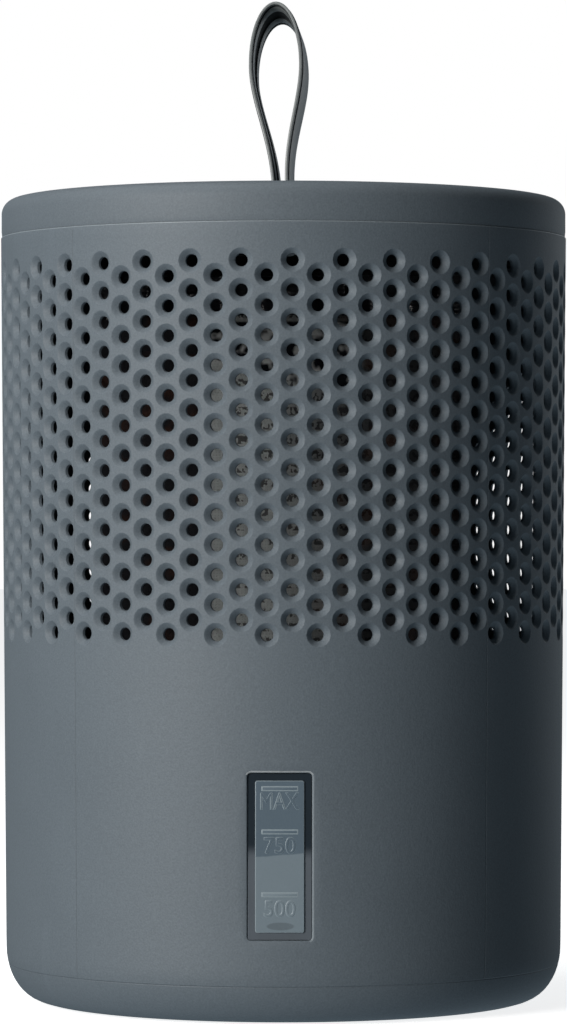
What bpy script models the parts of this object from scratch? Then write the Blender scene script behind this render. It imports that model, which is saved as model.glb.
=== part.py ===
"""Passive dehumidifier: a perforated moisture-absorber pot with a brine tank, a lift-off lid and a strap loop.

The pot is one moulding. Its lower wall is plain and holds the collected water, and a level window sits low
on the front. A loose tray carries the desiccant pouch above the water, level with the perforated upper wall.
The lid plugs into the mouth of the pot and carries a strap loop, held under the lid by a steel pin.

Metres, +Z up. The object stands on z = 0 with its axis on the Z axis and its window facing -Y.
"""

import math

import bmesh
import bpy
from mathutils import Matrix, Vector

# Overall sizes
TOP_RADIUS = 0.075
DRAFT = 0.0015
POT_HEIGHT = 0.2013
LID_HEIGHT = 0.0099
WALL = 0.002
STEPS = 72

# Clearances
GAP = 0.0003
PLUG_CLEARANCE = 0.0004
TRAY_CLEARANCE = 0.0008

# Base
PAD_PROUD = 0.0005
PAD_RADIUS = 0.006
PAD_CIRCLE = 0.042
PAD_COUNT = 4
BASE_ROUNDING = 0.010
BASE_RING = 0.0115
RECESS_DEPTH = 0.001

# Tank and the ribs that carry the tray
TANK_DEPTH = 0.0845
RIB_COUNT = 6
RIB_WIDTH = 0.002
RIB_DEPTH = 0.0045

# Perforated wall. The solid carries every second row and column, at twice the hole size.
HOLE_DIAMETER = 0.003
HOLE_PITCH = 0.0075
HOLE_COLUMNS = 72
GRILLE_BELOW_RIM = 0.0098
GRILLE_ABOVE_SEAT = 0.0102
SOLID_STEP = 2

# Level window
WINDOW_WIDTH = 0.0162
WINDOW_HEIGHT = 0.0419
WINDOW_CENTRE = 0.0429
WINDOW_CORNER = 0.001
WINDOW_SETBACK = 0.0009
PANE_PAD_MARGIN = 0.0017
PANE_PAD_PROUD = 0.0004
SEAT_PROUD = 0.00175
SEAT_SIDE = 0.0034
SEAT_END = 0.0085
GASKET_THICKNESS = 0.001
FLANGE_THICKNESS = 0.0015
FLANGE_MARGIN = 0.0022
RETAINER_THICKNESS = 0.0018
STUD_RADIUS = 0.001
STUD_SHOULDER = 0.0006
STUD_HEAD = 0.0009
STUD_SPREAD = 0.0065
STUD_ABOVE_WINDOW = 0.0052

# Tray
TRAY_WALL = 0.0016
TRAY_FLOOR = 0.002
TRAY_RIM = 0.006
TRAY_TAB_WIDTH = 0.014
TRAY_TAB_RISE = 0.010
DRAIN_RADIUS = 0.004
DRAIN_RINGS = ((6, 0.022), (12, 0.046))

# Desiccant pouch
POUCH_WIDTH = 0.100
POUCH_DEPTH = 0.056
POUCH_SHIFT = -0.001
POUCH_HEADROOM = 0.009
POUCH_SEAL = 0.007
POUCH_SEAL_THICKNESS = 0.0024

# Lid
LID_ROUNDING = 0.004
PLUG_DEPTH = 0.0058
PLUG_WALL = 0.002
PLATE_RISE = 0.0016
PLATE_THICKNESS = 0.0018
SCREW_CIRCLE = 0.040
SCREW_COUNT = 3
SCREW_RADIUS = 0.0012
SCREW_HEAD_RADIUS = 0.0028
SCREW_HEAD_HEIGHT = 0.0016
SCREW_BITE = 0.0045
BOSS_RADIUS = 0.0035

# Strap loop
STRAP_WIDTH = 0.012
STRAP_THICKNESS = 0.0012
STRAP_HALF_GAP = 0.0012
STRAP_TURN = math.radians(-8.0)
STRAP_SIDE_LEAN = math.radians(-3.3)
STRAP_BEND_RADIUS = 0.130
LOOP_HALF_WIDTH = 0.0074
LOOP_WIDEST = 0.0327
LOOP_HEIGHT = 0.0503
PIN_RADIUS = STRAP_HALF_GAP - GAP
PIN_BELOW_TOP = 0.0055
LUG_LENGTH = 0.005
LUG_HALF_WIDTH = 0.004

# Levels and radii that follow from the sizes above
BASE_Z = PAD_PROUD
ROUND_TOP_Z = BASE_Z + BASE_ROUNDING
FLOOR_Z = BASE_Z + RECESS_DEPTH + WALL
SEAT_Z = FLOOR_Z + TANK_DEPTH
RIM_Z = BASE_Z + POT_HEIGHT
LID_Z = RIM_Z + GAP
TOP_Z = LID_Z + LID_HEIGHT
BASE_RADIUS = TOP_RADIUS - DRAFT
TRAY_Z = SEAT_Z + GAP
PLUG_Z = RIM_Z - PLUG_DEPTH
HINGE_RADIUS = STRAP_HALF_GAP + STRAP_THICKNESS
HINGE_Z = TOP_Z + GAP + HINGE_RADIUS
PIN_Z = TOP_Z - PIN_BELOW_TOP
PLATE_Z = RIM_Z + PLATE_RISE - PLATE_THICKNESS

GRAPHITE = (0.112, 0.130, 0.143)
SMOKE = (0.085, 0.095, 0.105)
CHARCOAL = (0.020, 0.021, 0.022)
INNER_GREY = (0.030, 0.034, 0.037)
POUCH_WHITE = (0.62, 0.64, 0.64)
STRAP_GREY = (0.19, 0.21, 0.22)
STEEL = (0.56, 0.57, 0.58)


def outer_radius(height):
    """Radius of the pot's drafted outer wall at this height."""
    return BASE_RADIUS + DRAFT * (height - ROUND_TOP_Z) / (RIM_Z - ROUND_TOP_Z)


def material(name, colour, roughness, metallic=0.0, alpha=1.0):
    made = bpy.data.materials.new(name)
    made.use_nodes = True
    shader = made.node_tree.nodes["Principled BSDF"]
    shader.inputs["Base Color"].default_value = (*colour, 1.0)
    shader.inputs["Roughness"].default_value = roughness
    shader.inputs["Metallic"].default_value = metallic
    shader.inputs["Alpha"].default_value = alpha
    return made


def add_object(name, mesh, collection, finish=None, parent=None):
    obj = bpy.data.objects.new(name, mesh)
    collection.objects.link(obj)
    if finish:
        mesh.materials.append(finish)
    obj.parent = parent
    return obj


def add_empty(name, collection, location, parent=None, turn=0.0):
    empty = bpy.data.objects.new(name, None)
    empty.empty_display_size = 0.01
    collection.objects.link(empty)
    empty.parent = parent
    empty.location = location
    empty.rotation_euler.z = turn
    return empty


def mesh_from(bm, name, smooth=False):
    bmesh.ops.recalc_face_normals(bm, faces=bm.faces)
    mesh = bpy.data.meshes.new(name)
    bm.to_mesh(mesh)
    bm.free()
    if smooth:
        mesh.shade_smooth()
    return mesh


def turned(name, profile, collection, finish, parent=None):
    """A turned solid: the profile runs down its outer side and both its ends lie on the axis."""
    bm = bmesh.new()
    points = [bm.verts.new((radius, 0.0, height)) for radius, height in profile]
    for upper, lower in zip(points, points[1:]):
        bm.edges.new((upper, lower))
    mesh = bpy.data.meshes.new(name)
    bm.to_mesh(mesh)
    bm.free()
    obj = add_object(name, mesh, collection, finish, parent)
    screw = obj.modifiers.new("Screw", "SCREW")
    screw.axis = "Z"
    screw.angle = math.tau
    screw.steps = STEPS
    screw.render_steps = STEPS
    screw.use_merge_vertices = True
    screw.merge_threshold = 0.00001
    screw.use_smooth_shade = True
    return obj


def arc(centre, radius, start, end, segments):
    """Profile points on an arc, its angles in degrees from +X towards +Z."""
    angles = [start + (end - start) * step / segments for step in range(segments + 1)]
    return [
        (
            centre[0] + radius * math.cos(math.radians(angle)),
            centre[1] + radius * math.sin(math.radians(angle)),
        )
        for angle in angles
    ]


def cut_or_join(obj, helper, operation):
    boolean = obj.modifiers.new(helper.name, "BOOLEAN")
    boolean.operation = operation
    boolean.object = helper
    boolean.solver = "EXACT"


def add_helper(name, bm, helpers):
    """A cutter, or a solid that is joined to a part. It isn't rendered itself."""
    helper = add_object(name, mesh_from(bm, name), helpers)
    helper.hide_render = True
    helper.display_type = "WIRE"
    return helper


def add_block(bm, low, high, matrix=None):
    """An axis-aligned box from its low to its high corner, then moved by the matrix."""
    low = Vector(low)
    high = Vector(high)
    placed = Matrix.Translation((low + high) / 2) @ Matrix.Diagonal((*(high - low), 1.0))
    return bmesh.ops.create_cube(bm, size=1.0, matrix=(matrix or Matrix()) @ placed)["verts"]


def stack(bm, face, size, levels, matrix):
    """Grows a flat face into a stepped solid.

    size is the face's half width and half height. Each level is a half width, a half height and the
    distance from the face. The whole solid is moved by the matrix at the end.
    """
    made = set(face.verts)
    top = face
    at = 0.0
    for half_width, half_height, height in levels:
        grown = bmesh.ops.extrude_face_region(bm, geom=[top])["geom"]
        if top is not face:
            bmesh.ops.delete(bm, geom=[top], context="FACES_ONLY")
        top = next(item for item in grown if isinstance(item, bmesh.types.BMFace))
        scale = Matrix.Diagonal((half_width / size[0], half_height / size[1], 1.0, 1.0))
        bmesh.ops.transform(bm, matrix=Matrix.Translation((0, 0, height - at)) @ scale, verts=top.verts)
        made.update(top.verts)
        size = (half_width, half_height)
        at = height
    bmesh.ops.transform(bm, matrix=matrix, verts=list(made))


def add_post(bm, sections, matrix, sides=24):
    """A round stepped post. Each section is a radius and its distance along the post."""
    first = sections[0]
    circle = bmesh.ops.create_circle(bm, cap_ends=True, radius=first[0], segments=sides)["verts"]
    bmesh.ops.translate(bm, vec=(0, 0, first[1]), verts=circle)
    levels = [(radius, radius, height - first[1]) for radius, height in sections[1:]]
    stack(bm, circle[0].link_faces[0], (first[0], first[0]), levels, matrix)


def add_plate(bm, half_width, half_height, corner, levels, matrix):
    """A stepped plate with rounded corners, grown from the rectangle of these half sizes."""
    grid = bmesh.ops.create_grid(bm, x_segments=1, y_segments=1, size=1.0)["verts"]
    bmesh.ops.scale(bm, vec=(half_width, half_height, 1.0), verts=grid)
    rounded = bmesh.ops.bevel(bm, geom=grid, offset=corner, segments=3, profile=0.5, affect="VERTICES")
    face = max(rounded["verts"][0].link_faces, key=lambda found: found.calc_area())
    stack(bm, face, (half_width, half_height), levels, matrix)


def around(count, radius, first=0.0):
    """Matrices evenly spaced round the axis, each with its own +X pointing outwards."""
    for index in range(count):
        turn = Matrix.Rotation(first + math.tau * index / count, 4, "Z")
        yield turn @ Matrix.Translation((radius, 0.0, 0.0))


def facing_front(distance, height):
    """A plane in front of the axis whose own +Z points to the back of the object, +Y in the world."""
    return Matrix.Translation((0.0, -distance, height)) @ Matrix.Rotation(-math.pi / 2, 4, "X")


def pot_profile():
    """The pot's wall, from the middle of its floor round the rim to the middle of its underside."""
    corner = BASE_RADIUS - BASE_ROUNDING
    inner_rounding = BASE_ROUNDING - WALL
    recess_radius = corner - BASE_RING
    return [
        (0.0, FLOOR_Z),
        *arc((corner, FLOOR_Z + inner_rounding), inner_rounding, -90, 0, 3),
        (TOP_RADIUS - WALL, RIM_Z),
        (TOP_RADIUS, RIM_Z),
        *arc((corner, ROUND_TOP_Z), BASE_ROUNDING, 0, -90, 5),
        (recess_radius, BASE_Z),
        (recess_radius - RECESS_DEPTH, BASE_Z + RECESS_DEPTH),
        (0.0, BASE_Z + RECESS_DEPTH),
    ]


def grille_cutter(helpers):
    """Six-sided holes on the middle of the wall's facets, in staggered columns."""
    bm = bmesh.new()
    pitch = HOLE_PITCH * SOLID_STEP
    top = RIM_Z - GRILLE_BELOW_RIM
    bottom = SEAT_Z + GRILLE_ABOVE_SEAT
    rows = int((top - bottom) / pitch) + 1
    middle = (top + bottom) / 2
    facet = math.tau / STEPS
    columns = around(HOLE_COLUMNS // SOLID_STEP, TOP_RADIUS - WALL / 2, -math.pi / 2 + facet / 2)
    for index, column in enumerate(columns):
        count = rows - index % 2
        for row in range(count):
            height = middle + (row - (count - 1) / 2) * pitch
            place = column @ Matrix.Translation((0.0, 0.0, height)) @ Matrix.Rotation(math.pi / 2, 4, "Y")
            bmesh.ops.create_cone(
                bm,
                cap_ends=True,
                segments=6,
                radius1=HOLE_DIAMETER * SOLID_STEP / 2,
                radius2=HOLE_DIAMETER * SOLID_STEP / 2,
                depth=WALL * 4,
                matrix=place,
            )
    return add_helper("grille_cutter", bm, helpers)


def window_levels():
    """Distances from the axis of the window's layers, from the pot's outer face inwards."""
    outside = outer_radius(WINDOW_CENTRE)
    seat = outside - WALL - SEAT_PROUD
    gasket = seat - GAP
    flange = gasket - GASKET_THICKNESS - GAP
    retainer = flange - FLANGE_THICKNESS - GAP
    heads = retainer - RETAINER_THICKNESS - GAP
    return outside, seat, gasket, flange, retainer, heads


def stud_places(distance):
    for side in (-1, 1):
        for end in (-1, 1):
            rise = end * (WINDOW_HEIGHT / 2 + STUD_ABOVE_WINDOW)
            yield Matrix.Translation((side * STUD_SPREAD, 0.0, rise)) @ facing_front(distance, WINDOW_CENTRE)


def make_pot(collection, helpers, finish):
    pot = turned("body_pot", pot_profile(), collection, finish)
    outside, seat, _, _, retainer, heads = window_levels()

    bm = bmesh.new()
    inner = outer_radius(SEAT_Z) - WALL
    for place in around(RIB_COUNT, 0.0, -math.pi / 2 + math.pi / RIB_COUNT):
        low = (inner - RIB_DEPTH, -RIB_WIDTH / 2, FLOOR_Z + BASE_ROUNDING)
        high = (inner + WALL / 4, RIB_WIDTH / 2, SEAT_Z)
        add_block(bm, low, high, place)
    half_width = WINDOW_WIDTH / 2 + SEAT_SIDE
    half_height = WINDOW_HEIGHT / 2 + SEAT_END
    front = outside - WALL * 0.7
    low = (-half_width, -front, WINDOW_CENTRE - half_height)
    high = (half_width, -seat, WINDOW_CENTRE + half_height)
    add_block(bm, low, high)
    cut_or_join(pot, add_helper("ribs_and_window_seat", bm, helpers), "UNION")

    bm = bmesh.new()
    shoulder = STUD_RADIUS + STUD_SHOULDER
    head = STUD_RADIUS + STUD_HEAD
    start = seat + SEAT_PROUD / 2
    sections = (
        (shoulder, 0.0),
        (shoulder, start - retainer - GAP),
        (STUD_RADIUS, start - retainer - GAP),
        (STUD_RADIUS, start - heads),
        (head, start - heads),
        (head, start - heads + STUD_RADIUS),
    )
    for place in stud_places(start):
        add_post(bm, sections, place, 12)
    cut_or_join(pot, add_helper("retainer_studs", bm, helpers), "UNION")

    bm = bmesh.new()
    levels = ((WINDOW_WIDTH / 2, WINDOW_HEIGHT / 2, WALL * 6),)
    place = facing_front(outside + WALL * 2, WINDOW_CENTRE)
    add_plate(bm, WINDOW_WIDTH / 2, WINDOW_HEIGHT / 2, WINDOW_CORNER, levels, place)
    cut_or_join(pot, add_helper("window_cutter", bm, helpers), "DIFFERENCE")
    cut_or_join(pot, grille_cutter(helpers), "DIFFERENCE")


def make_window(collection, helpers, clear, rubber, plastic):
    outside, _, gasket, flange, retainer, heads = window_levels()
    plug_width = WINDOW_WIDTH / 2 - GAP
    plug_height = WINDOW_HEIGHT / 2 - GAP
    pad_width = plug_width - PANE_PAD_MARGIN
    pad_height = plug_height - PANE_PAD_MARGIN
    flange_width = plug_width + FLANGE_MARGIN
    flange_height = plug_height + FLANGE_MARGIN
    pad_front = outside - WINDOW_SETBACK + PANE_PAD_PROUD

    bm = bmesh.new()
    levels = (
        (pad_width, pad_height, PANE_PAD_PROUD),
        (plug_width, plug_height, PANE_PAD_PROUD),
        (plug_width, plug_height, pad_front - flange),
        (flange_width, flange_height, pad_front - flange),
        (flange_width, flange_height, pad_front - flange + FLANGE_THICKNESS),
    )
    add_plate(bm, pad_width, pad_height, WINDOW_CORNER, levels, facing_front(pad_front, WINDOW_CENTRE))
    add_object("window_pane", mesh_from(bm, "window_pane"), collection, clear)

    bm = bmesh.new()
    levels = ((flange_width, flange_height, GASKET_THICKNESS),)
    add_plate(bm, flange_width, flange_height, WINDOW_CORNER, levels, facing_front(gasket, WINDOW_CENTRE))
    seal = add_object("window_gasket", mesh_from(bm, "window_gasket"), collection, rubber)
    bm = bmesh.new()
    width = plug_width + GAP
    height = plug_height + GAP
    levels = ((width, height, GASKET_THICKNESS * 3),)
    place = facing_front(gasket + GASKET_THICKNESS, WINDOW_CENTRE)
    add_plate(bm, width, height, WINDOW_CORNER, levels, place)
    cut_or_join(seal, add_helper("gasket_cutter", bm, helpers), "DIFFERENCE")

    bm = bmesh.new()
    frame_width = WINDOW_WIDTH / 2 + SEAT_SIDE - GAP
    frame_height = WINDOW_HEIGHT / 2 + SEAT_END - GAP
    levels = ((frame_width, frame_height, RETAINER_THICKNESS),)
    add_plate(bm, frame_width, frame_height, WINDOW_CORNER, levels, facing_front(retainer, WINDOW_CENTRE))
    frame = add_object("window_retainer", mesh_from(bm, "window_retainer"), collection, plastic)
    bm = bmesh.new()
    levels = ((pad_width, pad_height, RETAINER_THICKNESS * 3),)
    place = facing_front(retainer + RETAINER_THICKNESS, WINDOW_CENTRE)
    add_plate(bm, pad_width, pad_height, WINDOW_CORNER, levels, place)
    hole = STUD_RADIUS + GAP
    sections = ((hole, 0.0), (hole, retainer - heads + RETAINER_THICKNESS * 2))
    for place in stud_places(retainer + RETAINER_THICKNESS):
        add_post(bm, sections, place, 12)
    cut_or_join(frame, add_helper("retainer_cutter", bm, helpers), "DIFFERENCE")


def make_pads(collection, rubber):
    thickness = PAD_PROUD + RECESS_DEPTH - GAP
    for index, place in enumerate(around(PAD_COUNT, PAD_CIRCLE, math.pi / 4), 1):
        bm = bmesh.new()
        add_post(bm, ((PAD_RADIUS, 0.0), (PAD_RADIUS, thickness)), Matrix(), 24)
        name = f"foot_pad_{index}"
        pad = add_object(name, mesh_from(bm, name), collection, rubber)
        pad.location = place.translation


def make_tray(collection, helpers, finish, parent):
    """The loose tray, its local origin on the axis at its underside."""
    radius = outer_radius(SEAT_Z) - WALL - TRAY_CLEARANCE
    profile = [
        (0.0, TRAY_FLOOR),
        (radius - TRAY_WALL, TRAY_FLOOR),
        (radius - TRAY_WALL, TRAY_RIM),
        (radius, TRAY_RIM),
        (radius, 0.0),
        (0.0, 0.0),
    ]
    tray = turned("drip_tray", profile, collection, finish, parent)
    bm = bmesh.new()
    half_tab = TRAY_TAB_WIDTH / 2
    for place in around(2, 0.0):
        outer = math.sqrt((radius - TRAY_WALL / 2) ** 2 - half_tab**2)
        low = (outer - TRAY_WALL, -half_tab, TRAY_FLOOR / 2)
        high = (outer, half_tab, TRAY_RIM + TRAY_TAB_RISE)
        add_block(bm, low, high, place)
    tabs = add_helper("tray_tabs", bm, helpers)
    bm = bmesh.new()
    for count, circle in DRAIN_RINGS:
        ring = circle * radius / (TOP_RADIUS - WALL)
        for place in around(count, ring):
            sections = ((DRAIN_RADIUS, -TRAY_FLOOR), (DRAIN_RADIUS, TRAY_FLOOR * 2))
            add_post(bm, sections, place, 6)
    drains = add_helper("drain_cutter", bm, helpers)
    for helper, operation in ((tabs, "UNION"), (drains, "DIFFERENCE")):
        helper.parent = parent
        cut_or_join(tray, helper, operation)


def make_pouch(collection, finish, parent):
    """The pouch as a plain pillow with its heat-sealed top edge, its local origin under its middle."""
    height = PLUG_Z - POUCH_HEADROOM - POUCH_SEAL - parent.location.z
    bm = bmesh.new()
    add_block(
        bm,
        (-POUCH_WIDTH / 2, -POUCH_DEPTH / 2, 0.0),
        (POUCH_WIDTH / 2, POUCH_DEPTH / 2, height),
    )
    bmesh.ops.subdivide_edges(bm, edges=bm.edges, cuts=3, use_grid_fill=True)
    top = [vert for vert in bm.verts if vert.co.z > height * 0.99]
    for vert in top:
        vert.co.y *= POUCH_SEAL_THICKNESS / POUCH_DEPTH
    caps = [face for face in bm.faces if all(vert in top for vert in face.verts)]
    grown = bmesh.ops.extrude_face_region(bm, geom=caps)["geom"]
    bmesh.ops.delete(bm, geom=caps, context="FACES_ONLY")
    raised = [item for item in grown if isinstance(item, bmesh.types.BMVert)]
    bmesh.ops.translate(bm, vec=(0.0, 0.0, POUCH_SEAL), verts=raised)
    pouch = add_object("desiccant_pouch", mesh_from(bm, "desiccant_pouch", True), collection, finish, parent)
    soft = pouch.modifiers.new("Subdivision", "SUBSURF")
    soft.levels = 1
    soft.render_levels = 1


def make_lid(collection, helpers, finish, liner, steel, parent):
    """The lid cap, its plug plate and their screws. Local heights are above the cap's lower edge."""
    top = LID_HEIGHT
    under = top - WALL
    plate = PLATE_Z - LID_Z
    flat = TOP_RADIUS - LID_ROUNDING
    inner_rounding = LID_ROUNDING - WALL
    profile = [
        (0.0, top),
        *arc((flat, top - LID_ROUNDING), LID_ROUNDING, 90, 0, 5),
        (TOP_RADIUS, 0.0),
        (TOP_RADIUS - WALL, 0.0),
        *arc((flat, top - LID_ROUNDING), inner_rounding, 0, 90, 2),
        (0.0, under),
    ]
    cap = turned("lid_cap", profile, collection, finish, parent)

    turn = Matrix.Rotation(STRAP_TURN, 4, "Z")
    pin = PIN_Z - LID_Z
    lug_start = STRAP_WIDTH / 2 + GAP * 2
    plate_top = plate + PLATE_THICKNESS
    bm = bmesh.new()
    for place in around(SCREW_COUNT, SCREW_CIRCLE, math.pi / 2):
        add_post(bm, ((BOSS_RADIUS, plate_top + GAP), (BOSS_RADIUS, under + WALL / 2)), place)
    for side in (-1, 1):
        ends = sorted((side * lug_start, side * (lug_start + LUG_LENGTH)))
        low = (-LUG_HALF_WIDTH, ends[0], plate_top + GAP)
        high = (LUG_HALF_WIDTH, ends[1], under + WALL / 2)
        add_block(bm, low, high, turn)
    bosses = add_helper("lid_bosses_and_lugs", bm, helpers)

    saddle = PIN_RADIUS + GAP
    slot_width = HINGE_RADIUS + GAP
    slot_length = STRAP_WIDTH / 2 + GAP
    reach = lug_start + LUG_LENGTH + GAP
    bm = bmesh.new()
    hole = SCREW_RADIUS + GAP
    for place in around(SCREW_COUNT, SCREW_CIRCLE, math.pi / 2):
        add_post(bm, ((hole, 0.0), (hole, plate_top + SCREW_BITE)), place, 16)
    for side in (-1, 1):
        ends = sorted((side * (slot_length + GAP / 2), side * reach))
        add_block(bm, (-saddle, ends[0], 0.0), (saddle, ends[1], pin), turn)
    add_block(bm, (-slot_width, -slot_length, 0.0), (slot_width, slot_length, top * 2), turn)
    holes = add_helper("lid_cutter", bm, helpers)

    bm = bmesh.new()
    along = Matrix.Translation((0.0, 0.0, pin)) @ turn @ Matrix.Rotation(math.pi / 2, 4, "X")
    add_post(bm, ((saddle, -reach), (saddle, reach)), along, 16)
    channel = add_helper("pin_channel_cutter", bm, helpers)
    for helper, operation in ((bosses, "UNION"), (holes, "DIFFERENCE"), (channel, "DIFFERENCE")):
        helper.parent = parent
        cut_or_join(cap, helper, operation)

    radius = TOP_RADIUS - WALL - PLUG_CLEARANCE
    skirt = PLUG_Z - LID_Z
    profile = [
        (0.0, plate_top),
        (radius, plate_top),
        (radius, skirt),
        (radius - PLUG_WALL, skirt),
        (radius - PLUG_WALL, plate),
        (0.0, plate),
    ]
    plug = turned("lid_plug", profile, collection, liner, parent)
    bm = bmesh.new()
    for side in (-1, 1):
        ends = sorted((side * (lug_start + GAP * 2), side * (lug_start + LUG_LENGTH - GAP * 2)))
        low = (-PIN_RADIUS, ends[0], plate + PLATE_THICKNESS / 2)
        high = (PIN_RADIUS, ends[1], pin - PIN_RADIUS - GAP)
        add_block(bm, low, high, turn)
    posts = add_helper("keeper_posts", bm, helpers)
    bm = bmesh.new()
    for place in around(SCREW_COUNT, SCREW_CIRCLE, math.pi / 2):
        add_post(bm, ((hole, plate - PLATE_THICKNESS), (hole, plate_top + PLATE_THICKNESS)), place, 16)
    screw_holes = add_helper("plug_cutter", bm, helpers)
    for helper, operation in ((posts, "UNION"), (screw_holes, "DIFFERENCE")):
        helper.parent = parent
        cut_or_join(plug, helper, operation)

    seat = plate - GAP
    sections = (
        (SCREW_HEAD_RADIUS, -SCREW_HEAD_HEIGHT),
        (SCREW_HEAD_RADIUS, 0.0),
        (SCREW_RADIUS, 0.0),
        (SCREW_RADIUS, PLATE_THICKNESS + SCREW_BITE),
    )
    for index, place in enumerate(around(SCREW_COUNT, SCREW_CIRCLE, math.pi / 2), 1):
        bm = bmesh.new()
        add_post(bm, sections, Matrix(), 12)
        name = f"lid_screw_{index}"
        screw = add_object(name, mesh_from(bm, name, False), collection, steel, parent)
        screw.location = (*place.translation.xy, seat)


def bent(point):
    """Bends the upright strap backwards round an axis along X, tighter at its back edge."""
    angle = point[2] / STRAP_BEND_RADIUS
    reach = STRAP_BEND_RADIUS - point[1]
    return point[0], STRAP_BEND_RADIUS - reach * math.cos(angle), reach * math.sin(angle)


def ribbon(name, outline, is_ring, collection, finish, parent):
    """A strap of the full width and thickness whose middle follows the outline of (x, z) points."""
    bm = bmesh.new()
    half = STRAP_WIDTH / 2
    front = [bm.verts.new((x, -half, z)) for x, z in outline]
    pairs = list(zip(front, front[1:]))
    if is_ring:
        pairs.append((front[-1], front[0]))
    edges = [bm.edges.new(pair) for pair in pairs]
    grown = bmesh.ops.extrude_edge_only(bm, edges=edges)["geom"]
    back = [item for item in grown if isinstance(item, bmesh.types.BMVert)]
    bmesh.ops.translate(bm, vec=(0.0, STRAP_WIDTH, 0.0), verts=back)
    if is_ring:
        for vert in bm.verts:
            if vert.co.z > 0.0:
                vert.co = bent(vert.co)
    strap = add_object(name, mesh_from(bm, name), collection, finish, parent)
    thick = strap.modifiers.new("Solidify", "SOLIDIFY")
    thick.thickness = STRAP_THICKNESS
    thick.offset = 0.0
    thick.use_even_offset = True
    return strap


def loop_outline():
    """The strap loop's middle line: a half circle round its hinge, two spreading legs and an arched top."""
    base = HINGE_RADIUS - STRAP_THICKNESS / 2
    widest = LOOP_HALF_WIDTH - STRAP_THICKNESS / 2
    crown = LOOP_HEIGHT - STRAP_THICKNESS / 2 - LOOP_WIDEST
    leg_steps = 9
    leg = []
    for step in range(1, leg_steps):
        part = (step / leg_steps) ** 1.15
        spread = part * part * (3.0 - 2.0 * part)
        leg.append((base + (widest - base) * spread, LOOP_WIDEST * step / leg_steps))
    crown_steps = 14
    top = []
    for step in range(crown_steps + 1):
        angle = math.pi * step / crown_steps
        top.append((widest * math.cos(angle), LOOP_WIDEST + crown * math.sin(angle)))
    knuckle = arc((0.0, 0.0), base, 180, 360, 8)
    left = [(-x, z) for x, z in reversed(leg)]
    return knuckle + leg + top + left


def make_strap(collection, finish, steel, parent):
    """The strap's root round its steel pin in the lid, and the standing loop above the hinge."""
    base = HINGE_RADIUS - STRAP_THICKNESS / 2
    pin = PIN_Z - LID_Z
    root = [(-base, LID_HEIGHT), *arc((0.0, pin), base, 180, 360, 8), (base, LID_HEIGHT)]
    ribbon("strap_root", root, False, collection, finish, parent)
    loop = ribbon("strap_loop", loop_outline(), True, collection, finish, parent)
    loop.location.z = HINGE_Z - LID_Z
    loop.rotation_euler.y = STRAP_SIDE_LEAN

    bm = bmesh.new()
    reach = STRAP_WIDTH / 2 + GAP * 2 + LUG_LENGTH - GAP
    along = Matrix.Rotation(math.pi / 2, 4, "X")
    add_post(bm, ((PIN_RADIUS, -reach), (PIN_RADIUS, reach)), along, 16)
    rod = add_object("strap_pin", mesh_from(bm, "strap_pin"), collection, steel, parent)
    rod.location.z = pin


def main():
    for obj in list(bpy.data.objects):
        bpy.data.objects.remove(obj, do_unlink=True)
    collection = bpy.data.collections.new("dehumidifier")
    helpers = bpy.data.collections.new("dehumidifier_cutters")
    for made in (collection, helpers):
        bpy.context.scene.collection.children.link(made)

    shell = material("shell_plastic", GRAPHITE, 0.55)
    clear = material("window_clear", SMOKE, 0.12, alpha=0.55)
    rubber = material("seal_rubber", CHARCOAL, 0.80)
    inner_plastic = material("inner_plastic", INNER_GREY, 0.45)
    fabric = material("pouch_fabric", POUCH_WHITE, 0.85)
    strap = material("strap_grey", STRAP_GREY, 0.60)
    steel = material("pin_steel", STEEL, 0.30, 1.0)

    make_pot(collection, helpers, shell)
    make_window(collection, helpers, clear, rubber, inner_plastic)
    make_pads(collection, rubber)
    tray_frame = add_empty("tray_frame", collection, (0.0, 0.0, TRAY_Z))
    make_tray(collection, helpers, inner_plastic, tray_frame)
    pouch_place = (POUCH_SHIFT, 0.0, TRAY_Z + TRAY_FLOOR + GAP)
    pouch_frame = add_empty("pouch_frame", collection, pouch_place)
    make_pouch(collection, fabric, pouch_frame)
    lid_frame = add_empty("lid_frame", collection, (0.0, 0.0, LID_Z))
    make_lid(collection, helpers, shell, inner_plastic, steel, lid_frame)
    strap_frame = add_empty("strap_frame", collection, (0.0, 0.0, 0.0), lid_frame, STRAP_TURN)
    make_strap(collection, strap, steel, strap_frame)


main()
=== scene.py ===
"""Looks of a passive dehumidifier: perforated pot with a level window, lid with a strap loop, tray and pouch."""

import logging
import math
from collections.abc import Callable, Sequence
from dataclasses import dataclass
from enum import Enum, IntEnum
from typing import Any, ClassVar

import bmesh
import bpy
from mathutils import Matrix, Vector, noise


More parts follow.
